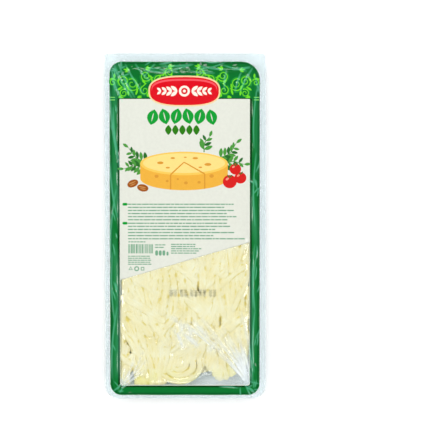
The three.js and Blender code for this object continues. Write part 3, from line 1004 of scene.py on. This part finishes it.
def curve(points, steps=24):  # a smooth route through a few points
    route = np.array(points, float)
    place = np.linspace(0, len(route) - 1, steps)
    knots = np.concatenate([2 * route[:1] - route[1:2], route, 2 * route[-1:] - route[-2:-1]])
    out = []
    for p in place:
        i = min(int(p), len(route) - 2)
        t = p - i
        a, b, c, d = knots[i : i + 4]
        bend = (2 * a - 5 * b + 4 * c - d) * t**2
        twist = (3 * b - a - 3 * c + d) * t**3
        out.append(tuple(0.5 * (2 * b + (c - a) * t + bend + twist)))
    return out


layout = {
    "bandWidth": 8.2,
    "frameRadii": (14.5, 9.5, 9.5, 9.5),
    "edgeLine": (0.7, 1.9),  # a darker line just inside the frame's edge
    "keyline": 0.5,  # pale, round the window
    "bandShade": 2.0,  # dark, round the panel
    "windowRound": 1.6,
    "headerDepth": 30.0,
    "middle": -0.7,
    "plaque": (-0.7, 108.2, 27.5, 11.2),  # x, y, reach across and along
    "artMiddle": (-1.0, 46.5),
    "textLeft": -45.9,
    "textRight": 47.5,
    "linePitch": 2.48,
    "lineHeight": 0.95,
    "textTops": (17.9, 2.7),  # of the two blocks of small print
    "stampLeft": -12.5,
    "stampTop": -50.6,
    "bars": (-26.4, -21.4, -14.0),  # right, bottom and top of the block of bars
    "marks": -33.7,  # the line of a triangle, a ring and a square
}
panel = {
    "left": printArea["left"] + layout["bandWidth"],
    "right": printArea["right"] - layout["bandWidth"],
    "bottom": printArea["bottom"] + layout["bandWidth"],
    "top": printArea["top"] - layout["headerDepth"],
}
shapes = []


def ink(name, outline):
    shapes.append((name, outline))


def inkBoth(name, outline):  # a shape right of the middle and its mirror image left of it
    ink(name, [(layout["middle"] + x, y) for x, y in outline])
    ink(name, [(layout["middle"] - x, y) for x, y in outline])


def frameOutline(inset):
    left, right, bottom, top = (printArea[side] for side in ("left", "right", "bottom", "top"))
    radii = [radius - inset for radius in layout["frameRadii"]]
    return roundRect(left + inset, right - inset, bottom + inset, top - inset, radii)


def heading(route, place):  # a point on a route and the direction onwards
    (x, y), (nextX, nextY) = route[place : place + 2]
    return x, y, math.degrees(math.atan2(nextY - y, nextX - x))


def printFrame():
    outer, inner = layout["edgeLine"]
    ink("frameGreen", frameOutline(0))
    ink("edgeGreen", frameOutline(outer))
    ink("frameGreen", frameOutline(inner))
    left, right, top = (printArea[side] for side in ("left", "right", "top"))
    sides = (left + inner, right - inner, panel["top"] - 1, top - inner)
    ink("deepGreen", roundRect(*sides, (12.6, 7.6, 1, 1)))
    stem = curve([(8, 117), (17, 121), (26, 118.5), (34, 111.5), (43, 108.5), (50.5, 112), (56.5, 119)], 60)
    inkBoth("leafGreen", stroke(stem, 1.0, 0.5))
    for place, side, radius, turns in (  # curls that spring from the stem
        (6, 1, 3.6, 1.5), (15, -1, 3.4, 1.4), (22, 1, 4.2, 1.6), (29, -1, 3.6, 1.3),
        (37, 1, 5.4, 1.6), (44, -1, 3.4, 1.4), (51, 1, 4.4, 1.5), (56, -1, 2.8, 1.3),
    ):
        x, y, ahead = heading(stem, place)
        out = math.radians(ahead + 90 * side)
        middle = (x + radius * math.cos(out), y + radius * math.sin(out))
        inkBoth("midGreen", curl(*middle, radius * 1.25, ahead - 90 * side, turns, side, 1.5))
        inkBoth("leafGreen", curl(*middle, radius, ahead - 90 * side, turns, side, 0.85))
    for place, turn, length in (  # leaves along the stem
        (3, 70, 4.2), (10, 130, 4.6), (12, -60, 4.4), (19, 60, 4.4), (20, -75, 4.8), (26, 100, 4.6),
        (33, -50, 5.2), (34, 120, 5.0), (41, 55, 4.6), (42, -120, 4.6), (48, -70, 4.8), (54, 70, 4.4),
        (58, -60, 4.2), (58, 40, 4.0),
    ):
        x, y, ahead = heading(stem, place)
        inkBoth("leafGreen", leaf(x, y, length, 1.7, ahead + turn))
    for x, y, turn in (  # loose sprays between the curls
        (31, 125.5, 160), (44, 124.5, 15), (52.5, 103.8, 200),
        (37.5, 103.5, 200), (30, 104.2, 150), (13, 127.5, 170),
    ):
        for spread in (-32, 0, 32):
            inkBoth("leafGreen", leaf(x, y, 5.0 - abs(spread) / 25, 1.4, turn + spread))
    for y in (103.2, 101.2):
        inkBoth("tickGreen", bar(55.5, 59.6, y - 0.35, y + 0.35))


def printPanel():
    left, right, bottom, top = panel["left"], panel["right"], panel["bottom"], panel["top"]
    key, shade, corner = layout["keyline"], layout["bandShade"], layout["windowRound"]
    ink("shadeGreen", roundRect(left - shade, right + shade, bottom - shade, top + 0.9, (1, 1, 2.5, 2.5)))
    sides = (left - key * 0.6, right + key * 0.6, bottom - key, top + key / 2)
    ink("panelWhite", roundRect(*sides, (0.6, 0.6, 2, 2)))
    window = arc(left + corner, bottom + corner, corner, corner, 180, 270, 6)
    window += arc(right - corner, bottom + corner, corner, corner, 270, 360, 6)
    window += [(right, windowEdge(right)), (left, windowEdge(left))]
    ink("clear", window)


def printPlaque():  # an oval with leaves to either side of a ring
    x, y, reachX, reachY = layout["plaque"]
    ink("cream", oval(x, y, reachX + 1.2, reachY + 1.2, 2.7, steps=72))
    ink("red", oval(x, y, reachX, reachY, 2.7, steps=72))
    ink("rosy", oval(x, y + 1.6, reachX - 1.4, reachY - 3.0, 2.7, steps=64))
    ink("red", oval(x, y - 0.3, reachX - 1.6, reachY - 2.6, 2.7, steps=64))
    ink("paleCream", oval(x, y, 4.4, 4.4, steps=30))
    ink("red", oval(x, y, 2.6, 2.6, steps=24))
    ink("paleCream", oval(x, y, 1.2, 1.2, steps=16))
    for i in range(4):
        start = 5.6 + 4.3 * i
        for tip in (38, -38):
            turned = [(px, py + y) for px, py in leaf(start, 0, 6.6 - 0.8 * i, 2.9 - 0.3 * i, tip)]
            inkBoth("paleCream", turned)


def printTitle():  # a row of bold leaves over a row of lozenges
    for i in range(6):
        x = layout["middle"] - 1.8 + (i - 2.5) * 9.4
        lift = -0.8 * ((i - 2.5) / 2.5) ** 2
        turn = 90 + (14 if i % 2 else -14)
        a = math.radians(turn)
        ink("titleGreen", leaf(x - 6.3 * math.cos(a), 82.0 + lift, 12.8, 9.0, turn))
        ink("panelWhite", leaf(x - 4.0 * math.cos(a), 84.6 + lift, 7.4, 0.8, turn))
    for i in range(5):
        x = layout["middle"] - 1.6 + (i - 2) * 5.6
        ink("oliveGreen", oval(x, 77.2, 2.6, 3.9, 1.4, steps=24))


def sprig(x, y, length, turn, count, side, dark):  # side: which way it bends, dark: which leaves are
    a = math.radians(turn)
    end = (x + length * math.cos(a), y + length * math.sin(a))
    bendX, bendY = -math.sin(a) * side * length * 0.16, math.cos(a) * side * length * 0.16
    middle = ((x + end[0]) / 2 + bendX, (y + end[1]) / 2 + bendY)
    route = curve([(x, y), middle, end], 14)
    ink("stemGreen", stroke(route, 0.9, 0.4))
    for i in range(count):
        px, py = route[2 + int(i * 11 / count)]
        reach = 7.5 * (1 - 0.4 * i / count)
        ink("darkLeaf" if (i + dark) % 3 == 0 else "herbGreen", leaf(px, py, reach, reach * 0.42, turn + 48))
        ink("herbGreen" if (i + dark) % 2 else "darkLeaf", leaf(px, py, reach, reach * 0.42, turn - 48))
    ink("herbGreen", leaf(end[0], end[1], 5.5, 2.4, turn))


def printArt():  # a cut cheese wheel with sprigs, round fruit and nuts
    x, y = layout["artMiddle"]
    sprig(x - 27, y + 5, 21, 146, 5, 1, 0)
    sprig(x - 30, y - 1, 18, 178, 5, -1, 1)
    sprig(x + 26, y + 8, 20, 38, 5, -1, 1)
    sprig(x + 30, y + 2, 18, 4, 4, 1, 0)
    sprig(x + 16, y + 13, 13, 70, 3, 1, 1)
    wide, deep, drop = 35.0, 9.4, 12.0  # the wheel's reach across and along, and its height
    rind = [(x - wide, y + 4)] + arc(x, y + 4 - drop, wide, deep, 180, 360, 30) + [(x + wide, y + 4)]
    ink("rindGold", rind)
    ink("cheeseGold", oval(x, y + 4, wide, deep, steps=56))
    ink("cheeseLight", oval(x, y + 4.3, wide - 2.2, deep - 1.5, steps=56))
    for turn in (-62, -108):  # a wedge is marked out at the front
        a = math.radians(turn)
        edge = (x + wide * math.cos(a), y + 4 + deep * math.sin(a))
        ink("cutGold", stroke([(x, y + 5), edge], 0.9, 1.2))
        ink("cutGold", bar(edge[0] - 0.55, edge[0] + 0.55, edge[1] - drop, edge[1]))
    for holeX, holeY, reach in (  # holes in the top, seen at a slant
        (-19, 4.5, 2.6), (-9, 8.3, 1.8), (9, 8.2, 2.2), (19, 3.2, 2.8),
        (13, 0.9, 1.5), (-13, 0.6, 1.7), (1, 8.9, 1.2),
    ):
        ink("cutGold", oval(x + holeX, y + holeY, reach, reach * 0.42, steps=18))
    for holeX, holeY, reach in (  # and in the rind
        (-22, -6.2, 1.6), (-13.5, -10, 1.2), (12, -11, 1.3),
        (22, -6.0, 1.8), (1.5, -11.5, 1.5), (-5, -8.5, 0.9),
    ):
        ink("cutGold", oval(x + holeX, y + holeY, reach, reach * 0.8, steps=18))
    for fruitX, fruitY, reach in ((36.5, -10.5, 5.6), (45.0, -7.5, 4.8), (41, -0.5, 4.6)):
        ink("fruitRed", oval(x + fruitX, y + fruitY, reach, reach * 0.95, steps=30))
        shineX, shineY = x + fruitX - reach * 0.35, y + fruitY + reach * 0.38
        ink("fruitShine", oval(shineX, shineY, reach * 0.26, reach * 0.16, turn=35, steps=14))
        ink("darkLeaf", leaf(x + fruitX, y + fruitY + reach * 0.55, 3.2, 1.1, 130))
        ink("darkLeaf", leaf(x + fruitX, y + fruitY + reach * 0.55, 3.2, 1.1, 50))
    for nutX, nutY, turn in ((-41, -12, 24), (-33, -15.5, -12)):
        ink("nutBrown", oval(x + nutX, y + nutY, 4.6, 2.9, 2.0, turn, 26))
        ink("nutLight", oval(x + nutX - 0.4, y + nutY + 0.6, 3.0, 0.5, 2.0, turn, 16))
        ink("nutLight", oval(x + nutX, y + nutY - 0.9, 2.4, 0.4, 2.0, turn, 16))


def dashes(left, right, y, height, name, smallest, largest):  # a line of print as a row of dashes
    x = left
    while x < right - smallest:
        end = min(x + packDraw.uniform(smallest, largest), right)
        ink(name, bar(x, end, y - height / 2, y + height / 2))
        x = end + height * 0.5


def printSmall():  # dashes for lines of print, a block of bars, bold blocks and three marks
    left, right, pitch, height = (layout[key] for key in ("textLeft", "textRight", "linePitch", "lineHeight"))
    for top in layout["textTops"]:
        ink("titleGreen", oval(left - 2.4, top, 2.1, 1.1, 3, steps=20))
        for i in range(6):
            end = right - packDraw.uniform(5, 26)
            last = top < 5 and i == 5
            dashes(left, right if last else end, top - i * pitch, height, "textGreen", 1.6, 7)
    dashes(left + 0.3, -32, -12.2, 0.9, "textGreen", 1.2, 3)
    x = left + 0.3
    barsRight, barsBottom, barsTop = layout["bars"]
    while x < barsRight:
        width = 0.35 * packDraw.integers(1, 4)
        ink("textGreen", bar(x, x + width, barsBottom, barsTop))
        x += width + 0.35 * packDraw.integers(1, 3)
    for y in (-14.6, -16.6):
        dashes(-24.3, -15.5, y, 0.85, "textGreen", 1.5, 4)
    for i, small in enumerate((0, 0, 0, 1)):  # bold blocks, the last one smaller
        low, tall = -21.1 - 0.5 * small, 2.1 - 0.5 * small
        ink("textGreen", oval(-23 + i * 2.9, low, 1.15 - 0.3 * small, tall, 3, steps=16))
    for i in range(5):
        dashes(-11.5, 15.5 - packDraw.uniform(0, 9), -14.2 - i * 1.75, 0.85, "textGreen", 1.3, 5)
        dashes(left, -27 - packDraw.uniform(0, 6), -23.7 - i * 1.6, 0.8, "textGreen", 1.3, 4)
    y, reach = layout["marks"], 2.0
    for x, corners, turn in ((-43.8, 3, 90), (-39.0, 48, 45), (-34.3, 4, 45)):
        turns = [math.radians(turn + 360 * k / corners) for k in range(corners)]
        mark = [(x + reach * math.cos(t), y + reach * math.sin(t)) for t in turns]
        ink("textGreen", mark)
        ink("panelWhite", [(x + (px - x) * 0.55, y + (py - y) * 0.55) for px, py in mark])


def printStamp():  # dots of an ink-jet stamp on the clear window, in groups of checked blocks
    x = layout["stampLeft"]
    for group in (2, 2, 4, 2):
        for _ in range(group):
            for row in range(6):
                for column in range(3):
                    if (row + column) % 2 == 0 or packDraw.random() < 0.14:
                        left, top = x + column * 0.8, layout["stampTop"] - row * 0.95
                        ink("stampGrey", bar(left, left + 0.62, top - 0.7, top))
            x += 3.3
        x += 1.7


printFrame()
printPanel()
printPlaque()
printTitle()
printArt()
printSmall()
printStamp()
print("print drawn:", len(shapes), "shapes")


# The lid's mesh: a fine net of points with every outline of the print as edges in it

lidNet = {
    "bandStep": 0.72,  # between points, in the print's bands
    "panelStep": 1.15,
    "windowStep": 0.8,
    "foldedStep": 0.55,  # where pleats cross the window
    "edgeStep": 0.9,  # along outlines and folds
    "keepOff": 0.4,  # free points stay this far from those
    "foldedPart": (34, -108, 26, 34),  # middle and reach of the part under the pleats
    "thickness": 0.1,  # of the film
}


def closedPieces(outline, longest):  # an outline with long edges divided
    points = []
    for (x0, y0), (x1, y1) in zip(outline, outline[1:] + outline[:1]):
        count = max(1, math.ceil(math.hypot(x1 - x0, y1 - y0) / longest))
        points += [(x0 + (x1 - x0) * k / count, y0 + (y1 - y0) * k / count) for k in range(count)]
    return points


def netPoints():  # free points, in rows set off by half a step
    out = []
    for zone, step in enumerate(lidNet[key] for key in ("bandStep", "panelStep", "windowStep", "foldedStep")):
        rise = step * math.sqrt(3) / 2
        ys = np.arange(-pack["halfLength"], pack["halfLength"], rise)
        xs = np.arange(-pack["halfWidth"], pack["halfWidth"], step)
        x, y = np.meshgrid(xs, ys)
        x = x + (np.arange(len(ys)) % 2)[:, None] * step / 2
        inWindow = (x > panel["left"]) & (x < panel["right"]) & (y > panel["bottom"]) & (y < windowEdge(x))
        inPanel = (x > panel["left"]) & (x < panel["right"]) & (y >= windowEdge(x)) & (y < panel["top"])
        folded = bell(x, y, *lidNet["foldedPart"]) > 0.5
        keep = (~inWindow & ~inPanel, inPanel, inWindow & ~folded, inWindow & folded)[zone]
        out.append(np.stack([x[keep], y[keep]], axis=1))
    return np.concatenate(out)


def inside(points, outline):  # which points lie inside a closed outline
    x, y = points[:, 0], points[:, 1]
    hit = np.zeros(len(points), bool)
    for (x0, y0), (x1, y1) in zip(outline, outline[1:] + outline[:1]):
        if y0 != y1:
            crosses = (y0 > y) != (y1 > y)
            hit ^= crosses & (x < (x1 - x0) * (y - y0) / (y1 - y0) + x0)
    return hit


packWide, packLong = pack["halfWidth"], pack["halfLength"]
packOutline = roundRect(-packWide, packWide, -packLong, packLong, pack["cornerRadii"])


def triangulateLid():  # outlines, rings round the mouth and folds are edges, free points fill the rest
    longest = lidNet["edgeStep"]
    outlines = [closedPieces(packOutline, longest)]
    outlines += [closedPieces(outline, longest) for _, outline in shapes]
    for inset in rim["rings"]:
        sides = (mouth["left"] + inset, mouth["right"] - inset, mouth["bottom"] + inset, mouth["top"] - inset)
        outlines.append(closedPieces(roundRect(*sides, (pack["mouthRadius"] - inset,) * 4), longest))
    lines = [line for fold in folds for line in foldLines(fold, longest)]
    counts = [(len(outline), True) for outline in outlines] + [(len(line), False) for line in lines]
    edgePoints = np.concatenate([np.array(outline) for outline in outlines] + lines)
    cells = {(int(a), int(b)) for a, b in np.floor(edgePoints / lidNet["keepOff"])}
    near = {(a + i, b + j) for a, b in cells for i in (-1, 0, 1) for j in (-1, 0, 1)}
    net = netPoints()
    free = [tuple(c) not in near for c in np.floor(net / lidNet["keepOff"]).astype(int)]
    net = net[np.array(free) & inside(net, packOutline)]
    points = [Vector(p) for p in np.concatenate([edgePoints, net]).tolist()]
    edges = []
    start = 0
    for count, closed in counts:
        edges += [(start + i, start + (i + 1) % count) for i in range(count if closed else count - 1)]
        start += count
    found = delaunay_2d_cdt(points, edges, [], 0, 1e-4, False)
    flat = np.array([tuple(p) for p in found[0]])
    return flat, np.array(found[2], int)


flatPoints, triangles = triangulateLid()
centres = flatPoints[triangles].mean(axis=1)
kept = inside(centres, packOutline)
triangles, centres = triangles[kept], centres[kept]
inkNames = ["clear"]
faceInk = np.zeros(len(triangles), int)
for name, outline in shapes:  # later shapes lie over earlier ones
    if name not in inkNames:
        inkNames.append(name)
    corners = np.array(outline)
    low, high = corners.min(axis=0), corners.max(axis=0)
    near = np.nonzero(((centres >= low) & (centres <= high)).all(axis=1))[0]
    faceInk[near[inside(centres[near], outline)]] = inkNames.index(name)
print("lid net:", len(triangles), "triangles")


inks = {
    "clear": "FFFFFF",
    "frameGreen": "036C2A",
    "deepGreen": "046A28",
    "midGreen": "1A8A30",
    "leafGreen": "66CF22",
    "tickGreen": "74CC5C",
    "edgeGreen": "025222",
    "shadeGreen": "023F12",
    "panelWhite": "D6D8CD",
    "cream": "E6CB98",
    "paleCream": "EDE4D6",
    "red": "D2081A",
    "rosy": "E8505A",
    "titleGreen": "0E9430",
    "oliveGreen": "2A7512",
    "stemGreen": "38802E",
    "herbGreen": "48903A",
    "darkLeaf": "286628",
    "rindGold": "E2A83A",
    "cheeseGold": "EAC054",
    "cheeseLight": "EED27E",
    "cutGold": "D09030",
    "fruitRed": "CC1A18",
    "fruitShine": "E8907C",
    "nutBrown": "96501A",
    "nutLight": "BE8448",
    "textGreen": "70A080",
    "stampGrey": "8C8966",
}


def makeMesh(name, points, faces, material, faceColours=None):
    mesh = bpy.data.meshes.new(name)
    mesh.vertices.add(len(points))
    mesh.vertices.foreach_set("co", (np.asarray(points) * mm).astype(np.float32).ravel())
    mesh.loops.add(faces.size)
    mesh.loops.foreach_set("vertex_index", faces.astype(np.int32).ravel())
    mesh.polygons.add(len(faces))
    mesh.polygons.foreach_set("loop_start", np.arange(0, faces.size, 3, dtype=np.int32))
    mesh.update(calc_edges=True)
    mesh.polygons.foreach_set("use_smooth", np.ones(len(faces), bool))
    if faceColours is not None:
        layer = mesh.color_attributes.new("ink", "FLOAT_COLOR", "CORNER")
        layer.data.foreach_set("color", np.repeat(faceColours, 3, axis=0).astype(np.float32).ravel())
    mesh.materials.append(material)
    mesh.validate()
    piece = bpy.data.objects.new(name, mesh)
    bpy.context.collection.objects.link(piece)
    return piece


def thicken(points, faces, thickness):  # a closed sheet: the faces given, their backs and the edges between
    corners = points[faces]
    faceNormals = np.cross(corners[:, 1] - corners[:, 0], corners[:, 2] - corners[:, 0])
    normals = np.zeros_like(points)
    for k in range(3):
        np.add.at(normals, faces[:, k], faceNormals)
    normals /= np.maximum(np.linalg.norm(normals, axis=1, keepdims=True), 1e-9)
    count = len(points)
    sides = np.concatenate([faces[:, [0, 1]], faces[:, [1, 2]], faces[:, [2, 0]]])
    there = sides[:, 0].astype(np.int64) * count + sides[:, 1]
    back = sides[:, 1].astype(np.int64) * count + sides[:, 0]
    loose = ~np.isin(there, back)  # sides of one face only
    a, b = sides[loose].T
    edgeFaces = [np.stack([b, a, a + count], axis=1), np.stack([b, a + count, b + count], axis=1)]
    allPoints = np.concatenate([points, points - normals * thickness])
    allFaces = np.concatenate([faces, faces[:, ::-1] + count, *edgeFaces])
    own = np.arange(len(faces))
    owners = np.concatenate([own, own, np.tile(np.tile(own, 3)[loose], 2)])
    return allPoints, allFaces, owners


def compact(points, faces):  # only the points that the faces use
    used, index = np.unique(faces, return_inverse=True)
    return points[used], index.reshape(faces.shape)


def lidPiece(name, wanted, material):
    faces = triangles[wanted]
    flat, faces = compact(flatPoints, faces)
    points = np.column_stack([flat, filmHeight(flat[:, 0], flat[:, 1])])
    haze = filmHazeAndGlare(flat[:, 0], flat[:, 1], name == "printedLid")
    points, faces, owners = thicken(points, faces, lidNet["thickness"])
    palette = np.array([hexColour(inks[key]) for key in inkNames])
    piece = makeMesh(name, points, faces, material, palette[faceInk[wanted][owners]])
    layer = piece.data.attributes.new("haze", "FLOAT", "POINT")
    layer.data.foreach_set("value", np.tile(haze, 2).astype(np.float32))
    return piece


isClear = faceInk == 0
printedLid = lidPiece("printedLid", ~isClear, printedFilm())
lidLook = clearFilm("clearLidFilm", "FCFEFE", waviness=0.12, gloss=0.045)
clearLid = lidPiece("clearLid", isClear, lidLook)
print("lid made:", len(printedLid.data.polygons), len(clearLid.data.polygons))


# The formed tray: rings from the outline of the seal in to the mouth, down the wall and across the floor

tray = {
    "sideSteps": 44,
    "endSteps": 20,
    "cornerSteps": 12,
    "edgeInset": 0.15,  # the lid reaches this far past the tray's edge
    "wallSlant": 2.6,  # how far in the foot of the wall is from its top
    "floorRound": 2.8,
    "mouthRound": 0.9,
    "thickness": 0.16,
    "underLid": 0.29,  # from the lid's face down to the tray's
    "crumple": 0.22,  # how far the walls buckle
    "floorRings": 26,
    "strandGap": 0.3,  # between the floor and the strands on it
    "floorRise": 0.5,  # the floor follows them up no further than this
}


def ring(left, right, bottom, top, radii):
    points = []
    places = cornerArcs(left, right, bottom, top, radii)
    for k, (x, y, radius, start) in enumerate(places):
        turns = np.radians(start + np.linspace(0, 90, tray["cornerSteps"] + 1))
        points += list(zip(x + radius * np.cos(turns), y + radius * np.sin(turns)))
        nextX, nextY, nextRadius, nextStart = places[(k + 1) % 4]
        turn = math.radians(nextStart)
        end = np.array([nextX + nextRadius * math.cos(turn), nextY + nextRadius * math.sin(turn)])
        begin = np.array(points[-1])
        steps = tray["endSteps"] if k % 2 == 0 else tray["sideSteps"]
        points += [tuple(begin + (end - begin) * s / steps) for s in range(1, steps)]
    return np.array(points)


def mouthRing(inset):
    sides = (mouth["left"] + inset, mouth["right"] - inset, mouth["bottom"] + inset, mouth["top"] - inset)
    return ring(*sides, (max(pack["mouthRadius"] - inset, 1.0),) * 4)


def trayRings():
    wide, long = packWide - tray["edgeInset"], packLong - tray["edgeInset"]
    outer, edge = ring(-wide, wide, -long, long, pack["cornerRadii"]), mouthRing(0)
    count = len(outer)
    rings = []
    for share in (0, 0.06, 0.2, 0.4, 0.6, 0.8, 0.93, 1):  # the seal, just under the lid
        flat = outer + (edge - outer) * share
        rings.append(np.column_stack([flat, mapAt(lidMap, flat[:, 0], flat[:, 1]) - tray["underLid"]]))
    rimLevel = rings[-1][:, 2]
    lip, low = tray["mouthRound"], tray["floorRound"]
    for turn in np.radians((22, 45, 68, 90)):  # rounded down into the mouth
        flat = mouthRing(lip * math.sin(turn))
        rings.append(np.column_stack([flat, rimLevel - lip * (1 - math.cos(turn))]))
    around = np.cumsum(np.linalg.norm(np.roll(edge, -1, axis=0) - edge, axis=1))
    high = rimLevel - lip
    for share in (0.15, 0.32, 0.5, 0.68, 0.85):  # down the crumpled wall
        inset = lip + (tray["wallSlant"] - lip) * share
        buckle = np.sin(around / 2.9 + 3 * np.sin(around / 17)) * np.sin(share * math.pi)
        flat = mouthRing(inset)
        flat = flat + (mouthRing(inset + 1) - flat) * (tray["crumple"] * buckle)[:, None]
        rings.append(np.column_stack([flat, high + (low - high) * share]))
    for turn in np.radians((90, 72, 54, 36, 18, 0)):  # rounded in to the floor
        flat = mouthRing(tray["wallSlant"] + low * (1 - math.sin(turn)))
        rings.append(np.column_stack([flat, np.full(count, low * (1 - math.cos(turn)))]))
    floorEdge = rings[-1][:, :2]
    midX, midY = (mouth["left"] + mouth["right"]) / 2, (mouth["top"] + mouth["bottom"]) / 2
    reach = (mouth["top"] - mouth["bottom"]) / 2 - (mouth["right"] - mouth["left"]) / 2
    spine = np.column_stack([np.full(count, midX), np.clip(floorEdge[:, 1], midY - reach, midY + reach)])
    for share in np.linspace(0, 1, tray["floorRings"] + 1)[1:]:  # across the floor to a line in its middle
        flat = floorEdge + (spine - floorEdge) * share
        hug = np.clip(mapAt(floorMap, flat[:, 0], flat[:, 1]), 0, 0.6) * smooth(np.array(share / 0.1))
        rings.append(np.column_stack([flat, hug]))
    return rings


def buildTray():
    rings = trayRings()
    points = np.concatenate(rings)
    faces = []
    count = len(rings[0])
    k = np.arange(count)
    n = (k + 1) % count
    for i in range(len(rings) - 1):
        a, b = i * count, (i + 1) * count
        faces += [np.stack([a + k, b + k, b + n], axis=1), np.stack([a + k, b + n, a + n], axis=1)]
    faces = np.concatenate(faces)
    rounded, index = np.unique(np.round(points, 4), axis=0, return_inverse=True)  # closes the middle line
    faces = index.reshape(-1)[faces]
    good = (faces[:, 0] != faces[:, 1]) & (faces[:, 1] != faces[:, 2]) & (faces[:, 2] != faces[:, 0])
    return rounded, faces[good]


highest = np.minimum(strandSurface(lowerStrands, -1) - tray["strandGap"], tray["floorRise"])
floorMap = drawDown(np.zeros(mapX.shape), highest, insideMouth, -1)
floorMap -= floorMap.min()
trayPoints, trayFaces = buildTray()
trayPoints, trayFaces, _ = thicken(trayPoints, trayFaces[:, ::-1], -tray["thickness"])
trayLook = clearFilm("clearTrayFilm", "FAFDFE", waviness=0.3, gloss=0.02, haze=0.17)
trayFilm = makeMesh("trayFilm", trayPoints, trayFaces[:, ::-1], trayLook)
print("tray made:", len(trayFilm.data.polygons))


# The stage: a pale floor, soft strips round the pack, a broad light overhead, the room and the camera

stage = {
    "floorReach": 1.5,  # in metres, as the lamps below
    "viewMiddle": (30.9, 2.1, 9.0),  # what the camera looks at
    "viewWidth": 358.4,  # how much of the floor the picture is wide
    "distance": 1250.0,
    "tilt": 2.2,  # degrees, towards the header
    "wallGlow": 0.28,
    "ceilingGlow": 0.03,
    "roomColour": "F2F5F8",
}
lamps = {  # place, width and height in metres, power in watts; all point at the pack
    "leftStrip": ((-1.17, 0.2, 0.92), 1.9, 0.3, 12.2),
    "rightStrip": ((1.17, 0.1, 0.92), 1.9, 0.3, 11.2),
    "headStrip": ((0.0, 1.17, 0.92), 1.9, 0.3, 9.7),
    "footStrip": ((0.0, -1.17, 0.92), 1.9, 0.3, 8.5),
    "overhead": ((0.0, 0.0, 1.7), 1.4, 1.4, 9.0),
}


def makeFloor():
    reach = stage["floorReach"]
    mesh = bpy.data.meshes.new("floor")
    corners = [(-reach, -reach, 0), (reach, -reach, 0), (reach, reach, 0), (-reach, reach, 0)]
    mesh.from_pydata(corners, [], [(0, 1, 2, 3)])
    floor = bpy.data.objects.new("floor", mesh)
    bpy.context.collection.objects.link(floor)
    mesh.materials.append(floorPaper())


def makeCamera():
    camera = bpy.data.cameras.new("camera")
    holder = bpy.data.objects.new("camera", camera)
    bpy.context.collection.objects.link(holder)
    tilt = math.radians(stage["tilt"])
    back = stage["distance"] * mm * Vector((0, math.sin(tilt), math.cos(tilt)))
    holder.location = Vector(stage["viewMiddle"]) * mm + back
    holder.rotation_euler = (-tilt, 0, 0)
    camera.angle = 2 * math.atan(stage["viewWidth"] / 2 / stage["distance"])
    camera.clip_end = 20
    bpy.context.scene.camera = holder


def makeLamp(name, place, width, height, power):
    light = bpy.data.lights.new(name, "AREA")
    light.shape = "RECTANGLE"
    light.size = width
    light.size_y = height
    light.energy = power
    lamp = bpy.data.objects.new(name, light)
    lamp.location = place
    lamp.rotation_euler = (Vector((0, 0, 0)) - Vector(place)).to_track_quat("-Z", "Y").to_euler()
    lamp.visible_glossy = name != "overhead"  # the film mirrors the strips alone
    bpy.context.collection.objects.link(lamp)


def makeRoom():  # glowing walls under a dark ceiling, so that the film shows its true colours from above
    world = bpy.data.worlds.new("studio")
    bpy.context.scene.world = world
    world.use_nodes = True
    tree = world.node_tree
    upward = addNode(tree, "ShaderNodeTexCoord").outputs["Generated"]
    height = addNode(tree, "ShaderNodeSeparateXYZ", {"Vector": upward}).outputs["Z"]
    glows = {"To Min": stage["wallGlow"], "To Max": stage["ceilingGlow"]}
    glow = addNode(tree, "ShaderNodeMapRange", {"Value": height, "From Min": 0.3, "From Max": 0.9, **glows})
    seen = addNode(tree, "ShaderNodeLightPath").outputs["Is Camera Ray"]  # the room itself looks bright
    strength = addNode(tree, "ShaderNodeMix", {0: seen, 2: glow.outputs["Result"], 3: 1.0}).outputs[0]
    tree.links.new(strength, tree.nodes["Background"].inputs["Strength"])
    tree.nodes["Background"].inputs["Color"].default_value = hexColour(stage["roomColour"])


makeFloor()
makeCamera()
for lampName, values in lamps.items():
    makeLamp(lampName, *values)
makeRoom()
bpy.context.scene.view_settings.view_transform = "Standard"
bpy.context.scene.cycles.transparent_max_bounces = 16  # light crosses many thicknesses of film
print("stage set:", len(lamps), "lamps")

for piece in (printedLid, clearLid, trayFilm, upperCheese, lowerCheese):
    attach(piece, "root")
    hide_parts("sealed_pack")
